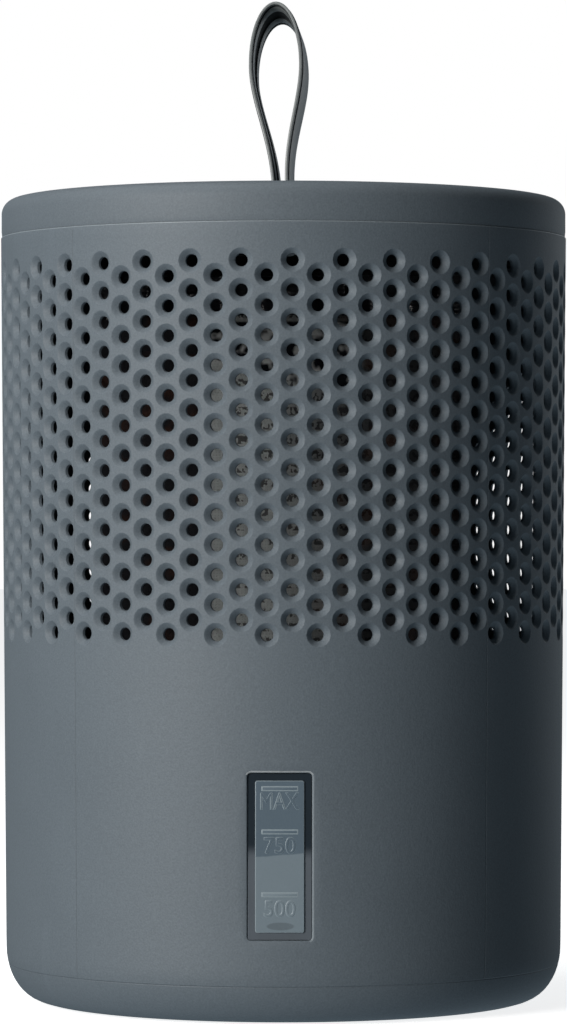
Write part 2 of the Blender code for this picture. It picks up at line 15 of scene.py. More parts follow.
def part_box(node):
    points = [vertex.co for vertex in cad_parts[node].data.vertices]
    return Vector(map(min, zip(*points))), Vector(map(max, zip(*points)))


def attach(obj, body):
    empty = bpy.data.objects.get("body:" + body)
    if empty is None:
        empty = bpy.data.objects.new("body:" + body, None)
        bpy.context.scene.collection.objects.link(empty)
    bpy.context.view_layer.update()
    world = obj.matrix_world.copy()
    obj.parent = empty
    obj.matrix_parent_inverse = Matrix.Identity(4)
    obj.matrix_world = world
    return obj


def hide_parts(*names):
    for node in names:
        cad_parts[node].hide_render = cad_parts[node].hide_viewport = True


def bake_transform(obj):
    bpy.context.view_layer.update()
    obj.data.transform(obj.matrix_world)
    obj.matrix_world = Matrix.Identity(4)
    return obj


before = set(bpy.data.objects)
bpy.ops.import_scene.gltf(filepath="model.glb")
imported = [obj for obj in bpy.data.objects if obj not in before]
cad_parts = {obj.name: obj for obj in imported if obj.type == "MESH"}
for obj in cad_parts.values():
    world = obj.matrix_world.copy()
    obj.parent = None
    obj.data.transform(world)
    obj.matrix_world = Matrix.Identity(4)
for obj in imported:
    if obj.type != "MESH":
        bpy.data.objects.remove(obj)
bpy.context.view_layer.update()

MM = 0.001
log = logging.getLogger("dehumidifier")

Triple = tuple[float, float, float]
Colour = Triple
Point2 = tuple[float, float]
Mesh = bmesh.types.BMesh
Vert = bmesh.types.BMVert
Edges = list[bmesh.types.BMEdge]
Socket = bpy.types.NodeSocket

WHITE: Colour = (1.0, 1.0, 1.0)

# Angle in radians over which two faces count as meeting at a corner.
STEEP = 1.2


class Body(Enum):
    """The bodies that pieces ride on."""

    POT = "pot"
    TRAY = "tray"
    POUCH = "pouch"
    LID = "lid"
    STRAP = "strap"


class Slot(Enum):
    """The record's material slots."""

    SHELL = "shell_plastic"
    WINDOW = "window_clear"
    SEAL = "seal_rubber"
    INNER = "inner_plastic"
    FABRIC = "pouch_fabric"
    STRAP = "strap_grey"
    STEEL = "pin_steel"


# ---------------------------------------------------------------- shader maths


def operator(operation: str, swapped: bool = False) -> Callable[["Signal", "Value"], "Signal"]:
    """Make the method behind an operator, which adds a Math node.

    Args:
        operation: the node's operation.
        swapped: whether the other number comes first, as in a reflected form.

    Returns:
        The method.
    """

    def method(self: "Signal", other: "Value") -> "Signal":
        """Add the node for these two numbers."""
        return self.bench.maths(operation, *((other, self) if swapped else (self, other)))

    return method


class Signal:
    """A number that varies over a surface. Python operators on it add Math nodes."""

    def __init__(self, bench: "Bench", socket: Socket) -> None:
        """Keep the bench that owns the nodes and the socket that gives the number."""
        self.bench = bench
        self.socket = socket

    __add__ = __radd__ = operator("ADD")
    __mul__ = __rmul__ = operator("MULTIPLY")
    __sub__ = operator("SUBTRACT")
    __rsub__ = operator("SUBTRACT", swapped=True)
    __truediv__ = operator("DIVIDE")
    __rtruediv__ = operator("DIVIDE", swapped=True)

    def __abs__(self) -> "Signal":
        """The number without its sign."""
        return self.bench.maths("ABSOLUTE", self)

    def step(self, low: float, high: float) -> "Signal":
        """Rise smoothly from 0 to 1.

        Args:
            low: value where the rise starts.
            high: value where it ends; below low it falls instead.

        Returns:
            The smooth step.
        """
        settings = {"interpolation_type": "SMOOTHSTEP"}
        return self.bench.signal("ShaderNodeMapRange", settings, {0: self, 1: low, 2: high})

    def band(self, low: float, high: float, soft: float) -> "Signal":
        """Be 1 between two values and 0 outside them.

        Args:
            low: lower edge.
            high: upper edge.
            soft: width of the change at each edge.

        Returns:
            The band's mask.
        """
        return self.step(low - soft, low + soft) * self.step(high + soft, high - soft)


Value = Signal | float


class Bench:
    """The node tree of one material or world."""

    def __init__(self, owner: bpy.types.Material | bpy.types.World) -> None:
        """Turn on the owner's nodes and find its Principled shader, which a world lacks.

        Args:
            owner: the material or world.
        """
        owner.use_nodes = True
        self.tree = owner.node_tree
        self.shader = self.tree.nodes.get("Principled BSDF")

    def feed(self, socket: Socket, value: Any) -> None:
        """Link or set one input.

        Args:
            socket: the input.
            value: a Signal or an output to link, or a plain value.
        """
        if isinstance(value, Signal):
            self.tree.links.new(value.socket, socket)
        elif isinstance(value, Socket):
            self.tree.links.new(value, socket)
        elif socket.type == "RGBA":
            socket.default_value = (*value, 1.0)
        else:
            socket.default_value = value

    def node(self, kind: str, settings: dict[str, Any], sockets: dict[Any, Any]) -> bpy.types.Node:
        """Add a node.

        Args:
            kind: the node's type.
            settings: its properties, which are set first.
            sockets: its inputs by name or index, with values or links.

        Returns:
            The node.
        """
        made = self.tree.nodes.new(kind)
        for name, value in settings.items():
            setattr(made, name, value)
        for name, value in sockets.items():
            self.feed(made.inputs[name], value)
        return made

    def signal(self, kind: str, settings: dict[str, Any], sockets: dict[Any, Any]) -> Signal:
        """Add a node and read its first output as a number."""
        return Signal(self, self.node(kind, settings, sockets).outputs[0])

    def maths(self, operation: str, *values: Value) -> Signal:
        """Add a Math node with these inputs in order."""
        return self.signal("ShaderNodeMath", {"operation": operation}, dict(enumerate(values)))

    def place(self, kind: str = "Object") -> Socket:
        """Coordinates of a kind, by default the object's own in metres."""
        return self.node("ShaderNodeTexCoord", {}, {}).outputs[kind]

    def axes(self, kind: str = "Object") -> tuple[Signal, Signal, Signal]:
        """The three coordinates of a kind as numbers.

        Args:
            kind: the Texture Coordinate output.

        Returns:
            X, Y and Z.
        """
        split = self.node("ShaderNodeSeparateXYZ", {}, {0: self.place(kind)})
        x, y, z = (Signal(self, output) for output in split.outputs)
        return x, y, z

    def speckle(self, grain: float, detail: float = 2.0, stretch: Triple = (1.0, 1.0, 1.0)) -> Signal:
        """Add a Noise texture.

        Args:
            grain: size of its features in metres.
            detail: its octaves.
            stretch: how much finer it is along each axis.

        Returns:
            Noise from 0 to 1.
        """
        placed = self.node("ShaderNodeMapping", {}, {"Vector": self.place(), "Scale": stretch})
        sockets = {"Vector": placed.outputs[0], "Scale": 1.0 / grain, "Detail": detail}
        return self.signal("ShaderNodeTexNoise", {}, sockets)

    def mix(self, factor: Any, first: Any, second: Any, mode: str = "MIX") -> Socket:
        """Mix two colours.

        Args:
            factor: the second colour's share.
            first: colour or output.
            second: colour or output.
            mode: the way they mix.

        Returns:
            The mixed colour's output.
        """
        settings = {"data_type": "RGBA", "blend_type": mode}
        return self.node("ShaderNodeMix", settings, {0: factor, 6: first, 7: second}).outputs[2]

    def tone(self, colour: Any, level: Signal) -> Socket:
        """Multiply a colour by a number.

        Args:
            colour: colour or output.
            level: the number, 1 for no change.

        Returns:
            The toned colour's output.
        """
        grey = self.node("ShaderNodeCombineColor", {}, {0: level, 1: level, 2: level}).outputs[0]
        return self.mix(1.0, colour, grey, "MULTIPLY")

    def relief(self, height: Signal, depth: float) -> None:
        """Feed a Bump node to the shader's normal.

        Args:
            height: relief from 0 to 1.
            depth: what 1 stands for, in metres.
        """
        bump = self.node("ShaderNodeBump", {}, {"Height": height, "Distance": depth, "Strength": 1.0})
        self.feed(self.shader.inputs["Normal"], bump.outputs[0])

    def paint(self, colour: Any, roughness: Any, **constants: Any) -> None:
        """Set the shader's colour and roughness.

        Args:
            colour: colour or output.
            roughness: number or Signal.
            constants: other inputs by name, with _ for a space.
        """
        sockets = {"Base Color": colour, "Roughness": roughness}
        sockets.update({name.replace("_", " "): value for name, value in constants.items()})
        for name, value in sockets.items():
            self.feed(self.shader.inputs[name], value)


# ---------------------------------------------------------------- finishes


@dataclass(frozen=True)
class Finish:
    """What every finish shares: its name, the record's slot and its colour."""

    name: str
    slot: Slot
    colour: Colour

    def material(self) -> bpy.types.Material:
        """The finish's material, made the first time it is asked for.

        Returns:
            The material.
        """
        found = bpy.data.materials.get(self.name)
        if found is None:
            found = bpy.data.materials.new(self.name)
            self.dress(Bench(found))
        return found

    def dress(self, bench: Bench) -> None:
        """Build the finish on a bench.

        Args:
            bench: where the nodes go.
        """
        raise NotImplementedError


@dataclass(frozen=True)
class MouldedPlastic(Finish):
    """Matte spark-textured polypropylene with a faint mottle, a fine grain and the mould's parting lines."""

    roughness: float = 0.60
    grain: float = 0.46 * MM
    grain_depth: float = 0.060 * MM
    contrast: float = 0.12
    parting_lines: bool = False
    parting_angle: float = math.radians(45.0)
    parting_width: float = 0.22 * MM
    base_line: float = 10.2 * MM
    top_of_lines: float = 201.0 * MM
    radius: float = 74.0 * MM

    def lines(self, bench: Bench) -> Signal:
        """Mask of the parting lines: two pairs of uprights and one round the foot.

        Args:
            bench: where the nodes go.

        Returns:
            The mask, 1 on a line.
        """
        x, y, z = bench.axes()
        angle = bench.maths("ARCTAN2", abs(x), abs(y))
        distance = abs(angle - self.parting_angle) * self.radius
        upright = distance.step(self.parting_width, 0.0) * z.band(self.base_line, self.top_of_lines, 0.5 * MM)
        foot = abs(z - self.base_line).step(self.parting_width, 0.0)
        return bench.maths("MAXIMUM", upright, foot)

    def dress(self, bench: Bench) -> None:
        """Build the grain, mottle and parting lines.

        Args:
            bench: where the nodes go.
        """
        cloud = bench.speckle(26 * MM, 3.0)
        grain = bench.speckle(self.grain, 2.0)
        pits = bench.speckle(self.grain * 3.1, 1.0)
        scuffs = bench.speckle(7 * MM, 4.0, (1.0, 1.0, 0.25)).step(0.62, 0.80)
        level = 1.0 + self.contrast * (cloud - 0.5) + self.contrast * 4.2 * (grain - 0.5) + scuffs * 0.05
        height = grain * 0.8 + pits * 0.5
        if self.parting_lines:
            lines = self.lines(bench)
            level = level - lines * 0.15
            height = height - lines * 1.6
        rough = self.roughness + (cloud - 0.5) * 0.10 - scuffs * 0.05
        bench.paint(bench.tone(self.colour, level), rough, Specular_IOR_Level=0.42)
        bench.relief(height, self.grain_depth)


@dataclass(frozen=True)
class SmokedPane(Finish):
    """Clear smoked plastic, glossy, over the dark tank, lighter below a level line as a painted reflection."""

    reflection_colour: Colour = (0.103, 0.118, 0.135)
    reflection_line: float = 44.6 * MM

    def dress(self, bench: Bench) -> None:
        """Build the painted reflection's tone break and faint swirls.

        Args:
            bench: where the nodes go.
        """
        x, _, z = bench.axes()
        swirl = bench.speckle(9 * MM, 2.0)
        # Painted reflection: the pane is lighter below the line.
        reflected_share = (z + swirl * 1.4 * MM + x * 0.03).step(self.reflection_line + 2.0 * MM, self.reflection_line - 1.6 * MM)
        tone = bench.tone(bench.mix(reflected_share, self.colour, self.reflection_colour), 0.92 + swirl * 0.16)
        bench.paint(tone, 0.13 + swirl * 0.05, Coat_Weight=0.35, Coat_Roughness=0.05)
        bench.relief(swirl, 0.05 * MM)


@dataclass(frozen=True)
class FrostedPane(Finish):
    """The etched face of the level pane, lighter below a tone break as a painted reflection, with a droplet's
    shadow at its foot.
    """

    reflection_colour: Colour = (0.158, 0.200, 0.228)
    reflection_line: float = 43.3 * MM
    droplet: tuple[float, float, float, float] = (0.15 * MM, 25.5 * MM, 3.3 * MM, 0.95 * MM)
    roughness: float = 0.46

    def dress(self, bench: Bench) -> None:
        """Build the frosting.

        Args:
            bench: where the nodes go.
        """
        x, _, z = bench.axes()
        frost = bench.speckle(0.5 * MM, 3.0)
        cloud = bench.speckle(6 * MM, 2.0)
        # Painted reflection: the pad is lighter below the line.
        reflected_share = (z - x * 0.08 + cloud * 0.6 * MM).step(self.reflection_line + 0.5 * MM, self.reflection_line + 0.1 * MM)
        centre_x, centre_z, half_width, half_height = self.droplet
        across = (x - centre_x) / half_width
        along = (z - centre_z) / half_height
        # Painted shadow of a droplet, darkening the pad inside this ellipse.
        droplet_shadow_mask = (across * across + along * along).step(1.25, 0.85)
        tone = bench.mix(reflected_share, self.colour, self.reflection_colour)
        level = 0.94 + frost * 0.08 + cloud * 0.05 - droplet_shadow_mask * 0.30
        bench.paint(bench.tone(tone, level), self.roughness + frost * 0.12)
        bench.relief(frost, 0.02 * MM)


@dataclass(frozen=True)
class RaisedMark(Finish):
    """The pane's raised scale, polished by the mould on its faces, in a lighter colour as a painted highlight on
    its edges.
    """

    roughness: float = 0.38

    def dress(self, bench: Bench) -> None:
        """Build the mark's faint unevenness.

        Args:
            bench: where the nodes go.
        """
        frost = bench.speckle(0.4 * MM, 2.0)
        bench.paint(bench.tone(self.colour, 0.9 + frost * 0.2), self.roughness + frost * 0.1)
        bench.relief(frost, 0.01 * MM)


@dataclass(frozen=True)
class SealRubber(Finish):
    """Soft dark rubber with a dusty bloom."""

    def dress(self, bench: Bench) -> None:
        """Build the bloom.

        Args:
            bench: where the nodes go.
        """
        bloom = bench.speckle(3 * MM, 4.0)
        grain = bench.speckle(0.25 * MM, 1.0)
        bench.paint(bench.tone(self.colour, 0.75 + bloom * 0.6), 0.72 + grain * 0.15)
        bench.relief(grain * 0.5 + bloom * 0.5, 0.03 * MM)


@dataclass(frozen=True)
class NonwovenFabric(Finish):
    """Dark nonwoven with a light panel: laid fibres, a lattice of bonding points, rows of plain dashes; the
    panel darkens towards +X as painted shade, and the film at the top has painted glints.
    """

    side_colour: Colour = (0.010, 0.011, 0.016)
    tint_colour: Colour = (0.050, 0.018, 0.010)
    print_colour: Colour = (0.055, 0.052, 0.055)
    panel_left: float = -20.8 * MM
    shade_start: float = -9.0 * MM
    shade_end: float = 33.0 * MM
    print_left: float = -13.0 * MM
    film_low: float = 164.0 * MM
    film_slant: float = 0.292
    film_high: float = 179.5 * MM
    film_right: float = 22.0 * MM
    bond_pitch: float = 1.5 * MM
    row_pitch: float = 3.75 * MM

    def dress(self, bench: Bench) -> None:
        """Build the fibres, bonding points and print, with the painted shade on the panel and painted glints on
        the film.

        Args:
            bench: where the nodes go.
        """
        x, y, z = bench.axes()
        along = bench.speckle(0.5 * MM, 3.0, (1.0, 1.0, 0.16))
        across = bench.speckle(0.5 * MM, 3.0, (0.16, 0.16, 1.0))
        fibres = bench.maths("MAXIMUM", along, across)
        turn = math.tau / self.bond_pitch
        lattice = bench.maths("SINE", (x + y + z) * turn) * bench.maths("SINE", (x + y - z) * turn)
        bonds = lattice.step(0.55, 0.85)
        row = bench.maths("FRACT", z / self.row_pitch).band(0.16, 0.74, 0.04)
        dashes = bench.speckle(1.0 * MM, 1.0, (1.0, 0.2, 0.75)).step(0.49, 0.53)
        # Painted shade: the panel fades towards +X, away from the light, down to 6 percent of its tone.
        painted_light_share = x.step(self.shade_end, self.shade_start)
        panel = x.step(self.panel_left - 0.3 * MM, self.panel_left) * (0.06 + painted_light_share * painted_light_share * 0.94)
        blotch = bench.speckle(9 * MM, 2.0).step(0.50, 0.66)
        side = bench.mix(blotch, self.side_colour, self.tint_colour)
        ink = row * dashes * x.step(self.print_left, self.print_left + 0.5 * MM) * 0.85
        ground = bench.mix(panel, side, bench.mix(ink, self.colour, self.print_colour))
        film = (z + x * self.film_slant).step(self.film_low - 0.3 * MM, self.film_low + 0.3 * MM)
        film = film * z.step(self.film_high + 0.3 * MM, self.film_high - 0.3 * MM)
        film = film * x.step(self.panel_left, self.panel_left + MM)
        film = film * x.step(self.film_right, self.film_right - 2 * MM)
        crease = bench.speckle(4.5 * MM, 2.0, (1.0, 1.0, 0.7))
        # Painted glints: light specks on the crumpled film stand in for its reflections; its low roughness is
        # real.
        shine = bench.mix(crease.step(0.47, 0.62), (0.012, 0.014, 0.018), (0.70, 0.72, 0.72))
        toned = bench.tone(ground, 0.62 + fibres * 0.62 - bonds * 0.14)
        bench.paint(bench.mix(film, toned, shine), 0.86 - film * 0.62)
        bench.relief((fibres - bonds * 0.8) * (1.0 - film) * 0.3 + crease * film * 3.0, 0.4 * MM)


@dataclass(frozen=True)
class SealedFilm(Finish):
    """The pouch's heat-sealed film edge, crimped and glossy."""

    crimp_pitch: float = 1.1 * MM

    def dress(self, bench: Bench) -> None:
        """Build the crimps, their shine and the painted shade in their creases.

        Args:
            bench: where the nodes go.
        """
        _, _, z = bench.axes()
        crease = bench.speckle(2.6 * MM, 3.0)
        crimps = bench.maths("SINE", z * (math.tau / self.crimp_pitch)) * 0.5 + 0.5
        # The tone follows the crease relief and is darker in its hollows: painted shade in the folds.
        bench.paint(bench.tone(self.colour, 0.55 + crease * 0.75), 0.20 + crease * 0.25, Coat_Weight=0.4)
        bench.relief(crimps * 0.4 + crease, 0.25 * MM)


@dataclass(frozen=True)
class StrapPolymer(Finish):
    """Satin elastomer with a fine drawn grain along the strap."""

    roughness: float = 0.44
    coat: float = 0.30

    def dress(self, bench: Bench) -> None:
        """Build the drawn grain.

        Args:
            bench: where the nodes go.
        """
        drawn = bench.speckle(0.5 * MM, 2.0, (1.0, 1.0, 0.12))
        cloud = bench.speckle(8 * MM, 3.0)
        grain = bench.speckle(0.22 * MM, 1.0)
        level = 0.93 + (cloud - 0.5) * 0.16 + (drawn - 0.5) * 0.14 + 0.06 * grain
        rough = self.roughness + cloud * 0.12
        bench.paint(bench.tone(self.colour, level), rough, Coat_Weight=self.coat, Coat_Roughness=0.28)
        bench.relief(drawn * 0.6 + grain * 0.4, 0.02 * MM)


@dataclass(frozen=True)
class BrightSteel(Finish):
    """Stainless steel with a turned grain."""

    def dress(self, bench: Bench) -> None:
        """Build the turned grain.

        Args:
            bench: where the nodes go.
        """
        grain = bench.speckle(0.12 * MM, 2.0, (0.2, 0.2, 1.0))
        bench.paint(bench.tone(self.colour, 0.85 + grain * 0.3), 0.22 + grain * 0.2, Metallic=1.0)
        bench.relief(grain, 0.006 * MM)


SHELL = MouldedPlastic("moulded_graphite", Slot.SHELL, (0.110, 0.133, 0.152), parting_lines=True)
LID_SHELL = MouldedPlastic("moulded_graphite_lid", Slot.SHELL, (0.112, 0.134, 0.152))
# Painted highlights: the two lip finishes are lighter to stand in for light caught on the rim and on the
# window's lip; their lower roughness is real.
HIGHLIGHT_LIP = MouldedPlastic("painted_highlight_lip", Slot.SHELL, (0.34, 0.36, 0.37), 0.35, grain_depth=0.01 * MM)
SOFT_HIGHLIGHT_LIP = MouldedPlastic("painted_soft_highlight_lip", Slot.SHELL, (0.20, 0.23, 0.25), 0.40, grain_depth=0.02 * MM)
LINER = MouldedPlastic("moulded_liner", Slot.INNER, (0.030, 0.034, 0.037), 0.42, grain_depth=0.02 * MM)
PANE = SmokedPane("smoked_pane", Slot.WINDOW, (0.020, 0.028, 0.036))
FROST = FrostedPane("frosted_pane", Slot.WINDOW, (0.083, 0.119, 0.150))
# Painted highlight: the lighter colour on the scale's sides and the pad's bevel stands in for light caught on
# their edges.
MARK_EDGE_HIGHLIGHT = RaisedMark("raised_scale_edge_highlight", Slot.WINDOW, (0.250, 0.300, 0.325), 0.32)
RUBBER = SealRubber("seal_rubber_dark", Slot.SEAL, (0.020, 0.021, 0.022))
FABRIC = NonwovenFabric("nonwoven_pouch", Slot.FABRIC, (0.76, 0.80, 0.79))
FILM = SealedFilm("sealed_film", Slot.FABRIC, (0.014, 0.015, 0.020))
STRAP_FINISH = StrapPolymer("strap_elastomer", Slot.STRAP, (0.152, 0.165, 0.165))
# Painted shade: the near-black colour stands in for the shade in the strap's grooves and its inner channel.
STRAP_GROOVE_SHADE = StrapPolymer("strap_elastomer_groove_shade", Slot.STRAP, (0.020, 0.023, 0.025), 0.75, coat=0.0)
STEEL = BrightSteel("bright_steel", Slot.STEEL, (0.56, 0.57, 0.58))


# ---------------------------------------------------------------- shared modelling


def verts_in(geometry: Sequence[Any]) -> list[Vert]:
    """The vertices among an operator's results."""
    return [item for item in geometry if isinstance(item, Vert)]


def arc(centre: Point2, radius: float, start: float, end: float, segments: int) -> list[Point2]:
    """Profile points on an arc.

    Args:
        centre: its centre.
        radius: its radius.
        start: first angle in degrees, from +X towards +Z.
        end: last angle.
        segments: how many steps it takes.

    Returns:
        The points.
    """
    angles = [math.radians(start + (end - start) * step / segments) for step in range(segments + 1)]
    return [(centre[0] + radius * math.cos(a), centre[1] + radius * math.sin(a)) for a in angles]


def spun(bm: Mesh, profile: Sequence[Point2], steps: int, matrix: Matrix | None = None) -> None:
    """Turn a profile of radius and height round Z.

    Args:
        bm: where it is built.
        profile: its points.
        steps: steps in the full turn.
        matrix: where the turned shape goes.
    """
    before = set(bm.verts)
    points = [bm.verts.new((radius, 0.0, height)) for radius, height in profile]
    edges = [bm.edges.new(pair) for pair in zip(points, points[1:])]
    bmesh.ops.spin(
        bm, geom=points + edges, cent=(0, 0, 0), axis=(0, 0, 1), dvec=(0, 0, 0),
        angle=math.tau, steps=steps, use_merge=True, use_duplicate=False,
    )
    made = [vert for vert in bm.verts if vert not in before]
    bmesh.ops.transform(bm, matrix=matrix or Matrix(), verts=made)
    bmesh.ops.remove_doubles(bm, verts=made, dist=1e-6)


def ring(bm: Mesh, height: float, radius: float) -> Edges:
    """The open edges that lie on a level circle round Z.

    Args:
        bm: where they are.
        height: the circle's height.
        radius: its radius.

    Returns:
        The edges.
    """
    return [
        edge
        for edge in bm.edges
        if len(edge.link_faces) < 2
        and all(abs(v.co.z - height) < 1e-5 and abs(v.co.xy.length - radius) < 2e-4 for v in edge.verts)
    ]


def extruded(bm: Mesh, edges: Edges) -> set[Vert]:
    """Extrude edges where they are, and give the new vertices."""
    return set(verts_in(bmesh.ops.extrude_edge_only(bm, edges=edges)["geom"]))


def among(verts: set[Vert]) -> Edges:
    """The edges that join these vertices to each other."""
    return list({e for v in verts for e in v.link_edges if e.other_vert(v) in verts})


def grow(bm: Mesh, edges: Edges, radius: float, height: float) -> Edges:
    """Extrude a level circle of edges to a new radius and height.

    Args:
        bm: where it is built.
        edges: the open circle.
        radius: the new circle's radius.
        height: its height.

    Returns:
        The new circle's edges.
    """
    made = extruded(bm, edges)
    for vert in made:
        scale = radius / vert.co.xy.length
        vert.co = (vert.co.x * scale, vert.co.y * scale, height)
    return among(made)


def rounded_outline(
    bm: Mesh, half_width: float, half_height: float, corner: float, segments: int, matrix: Matrix,
) -> Edges:
    """A rectangle's outline with rounded corners.

    Args:
        bm: where it is built.
        half_width: half its size along its own X.
        half_height: half its size along its own Y.
        corner: corner radius.
        segments: steps in each corner.
        matrix: where its plane goes.

    Returns:
        Its edges, with no face.
    """
    before = set(bm.verts)
    grid = bmesh.ops.create_grid(bm, x_segments=1, y_segments=1, size=1.0)["verts"]
    bmesh.ops.scale(bm, vec=(half_width, half_height, 1.0), verts=grid)
    bmesh.ops.bevel(
        bm, geom=grid, offset=corner, segments=segments, profile=0.5, affect="VERTICES", material=-1
    )
    made = [vert for vert in bm.verts if vert not in before]
    bmesh.ops.transform(bm, matrix=matrix, verts=made)
    bmesh.ops.delete(bm, geom=list({f for v in made for f in v.link_faces}), context="FACES_ONLY")
    return list({edge for vert in made for edge in vert.link_edges})


def circle_outline(bm: Mesh, radius: float, sides: int, matrix: Matrix) -> Edges:
    """A circle's edges, with no face."""
    made = bmesh.ops.create_circle(bm, cap_ends=False, radius=radius, segments=sides, matrix=matrix)["verts"]
    return list({edge for vert in made for edge in vert.link_edges})


def carried(bm: Mesh, edges: Edges, scale: Point2, shift: float, matrix: Matrix) -> Edges:
    """Extrude an outline along its own plane's Z, and size it.

    Args:
        bm: where it is built.
        edges: the outline.
        scale: factors along the plane's X and Y.
        shift: distance along its Z.
        matrix: the plane.

    Returns:
        The new outline's edges.
    """
    made = extruded(bm, edges)
    move = matrix @ Matrix.Translation((0, 0, shift)) @ Matrix.Diagonal((*scale, 1.0, 1.0)) @ matrix.inverted()
    bmesh.ops.transform(bm, matrix=move, verts=list(made))
    return among(made)


def stepped(bm: Mesh, outline: Edges, levels: Sequence[Triple], matrix: Matrix) -> None:
    """Close an outline and grow it through levels into a stepped solid.

    Args:
        bm: where it is built.
        outline: the first outline's edges.
        levels: half width, half height and distance of each outline, the first among them.
        matrix: the plane that the first outline lies on.
    """
    bmesh.ops.contextual_create(bm, geom=outline)
    edges = outline
    for before, after in zip(levels, levels[1:]):
        scale = (after[0] / before[0], after[1] / before[1])
        lift = Matrix.Translation((0, 0, before[2]))
        edges = carried(bm, edges, scale, after[2] - before[2], matrix @ lift)
    bmesh.ops.contextual_create(bm, geom=edges)


def block(bm: Mesh, low: Triple, high: Triple, edge: float, matrix: Matrix | None = None) -> None:
    """A box with rounded edges.

    Args:
        bm: where it is built.
        low: its lowest corner.
        high: its highest corner.
        edge: radius of its edges.
        matrix: where it goes.
    """
    middle = (Vector(low) + Vector(high)) / 2
    size = Vector(high) - Vector(low)
    placed = (matrix or Matrix()) @ Matrix.Translation(middle) @ Matrix.Diagonal((*size, 1.0))
    made = bmesh.ops.create_cube(bm, size=1.0, matrix=placed)["verts"]
    soften(bm, list({e for v in made for e in v.link_edges}), edge, 3)


def soften(bm: Mesh, edges: Edges, radius: float, segments: int) -> list[bmesh.types.BMFace]:
    """Round edges, and give the faces that this makes.

    Args:
        bm: where it is built.
        edges: the edges.
        radius: radius of the rounding.
        segments: its steps.

    Returns:
        The rounding's faces.
    """
    return bmesh.ops.bevel(
        bm, geom=edges, offset=radius, segments=segments, profile=0.5, affect="EDGES", material=-1
    )["faces"]


def around(count: int, radius: float, first: float = 0.0) -> list[Matrix]:
    """Places evenly spaced round Z, each with its own X pointing outwards."""
    turns = [Matrix.Rotation(first + math.tau * index / count, 4, "Z") for index in range(count)]
    return [turn @ Matrix.Translation((radius, 0.0, 0.0)) for turn in turns]


def facing_front(distance: float, height: float) -> Matrix:
    """A plane in front of the axis, its own X to the right and its own Z to the back."""
    return Matrix.Translation((0.0, -distance, height)) @ Matrix.Rotation(-math.pi / 2, 4, "X")


def in_scene(name: str, data: Any) -> bpy.types.Object:
    """Put a mesh, curve, light or camera into the scene as an object.

    Args:
        name: the object's name.
        data: what it holds.

    Returns:
        The object.
    """
    made = bpy.data.objects.new(name, data)
    bpy.context.scene.collection.objects.link(made)
    return made


@dataclass
class Assembly:
    """What every sub-assembly shares: how a mesh becomes a piece of the model."""

    def piece(
        self, name: str, bm: Mesh, finish: Finish, body: Body, stands_for: Sequence[str] = (),
        sharp: float = 30.0, bevel: float = 0.0, others: Sequence[Finish] = (),
    ) -> bpy.types.Object:
        """Turn a finished bmesh into a piece that rides on a body.

        Args:
            name: the piece's name.
            bm: its mesh, freed here.
            finish: what it is made of.
            body: the body that it rides on; a strap piece is not attached to one.
            stands_for: CAD nodes that it replaces.
            sharp: angle in degrees over which an edge is drawn sharp.
            bevel: radius of a Bevel modifier on its sharp edges, or 0.
            others: finishes of its faces with material index 1 and on; the bevel takes the last.

        Returns:
            The piece.
        """
        bmesh.ops.remove_doubles(bm, verts=bm.verts, dist=1e-6)
        bmesh.ops.recalc_face_normals(bm, faces=bm.faces)
        mesh = bpy.data.meshes.new(name)
        bm.to_mesh(mesh)
        bm.free()
        for each in (finish, *others):
            mesh.materials.append(each.material())
        made = in_scene(name, mesh)
        if bevel:
            rounding = made.modifiers.new("Rounding", "BEVEL")
            rounding.width = bevel
            rounding.segments = 2
            rounding.limit_method = "ANGLE"
            rounding.angle_limit = math.radians(40.0)
            rounding.material = len(others) or -1
        mesh.shade_smooth()
        mesh.set_sharp_from_angle(angle=math.radians(sharp))
        if body is not Body.STRAP:
            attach(made, body.value)
        if stands_for:
            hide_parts(*stands_for)
        log.info("%s: %d faces, on %s", name, len(mesh.polygons), body.value)
        return made


def dress_node(name: str, finish: Finish) -> None:
    """Give a carried-over CAD node its finish.

    Args:
        name: the node.
        finish: its finish.
    """
    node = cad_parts[name]
    for index in range(len(node.material_slots)):
        node.material_slots[index].material = finish.material()
    log.info("%s: CAD node dressed as %s", name, finish.name)


# ---------------------------------------------------------------- the pot


class Moulding(IntEnum):
    """Where each finish of the pot's moulding stands among its materials: the wall and two painted highlights.
    """

    WALL = 0
    POLISHED = 1
    BURNISHED = 2


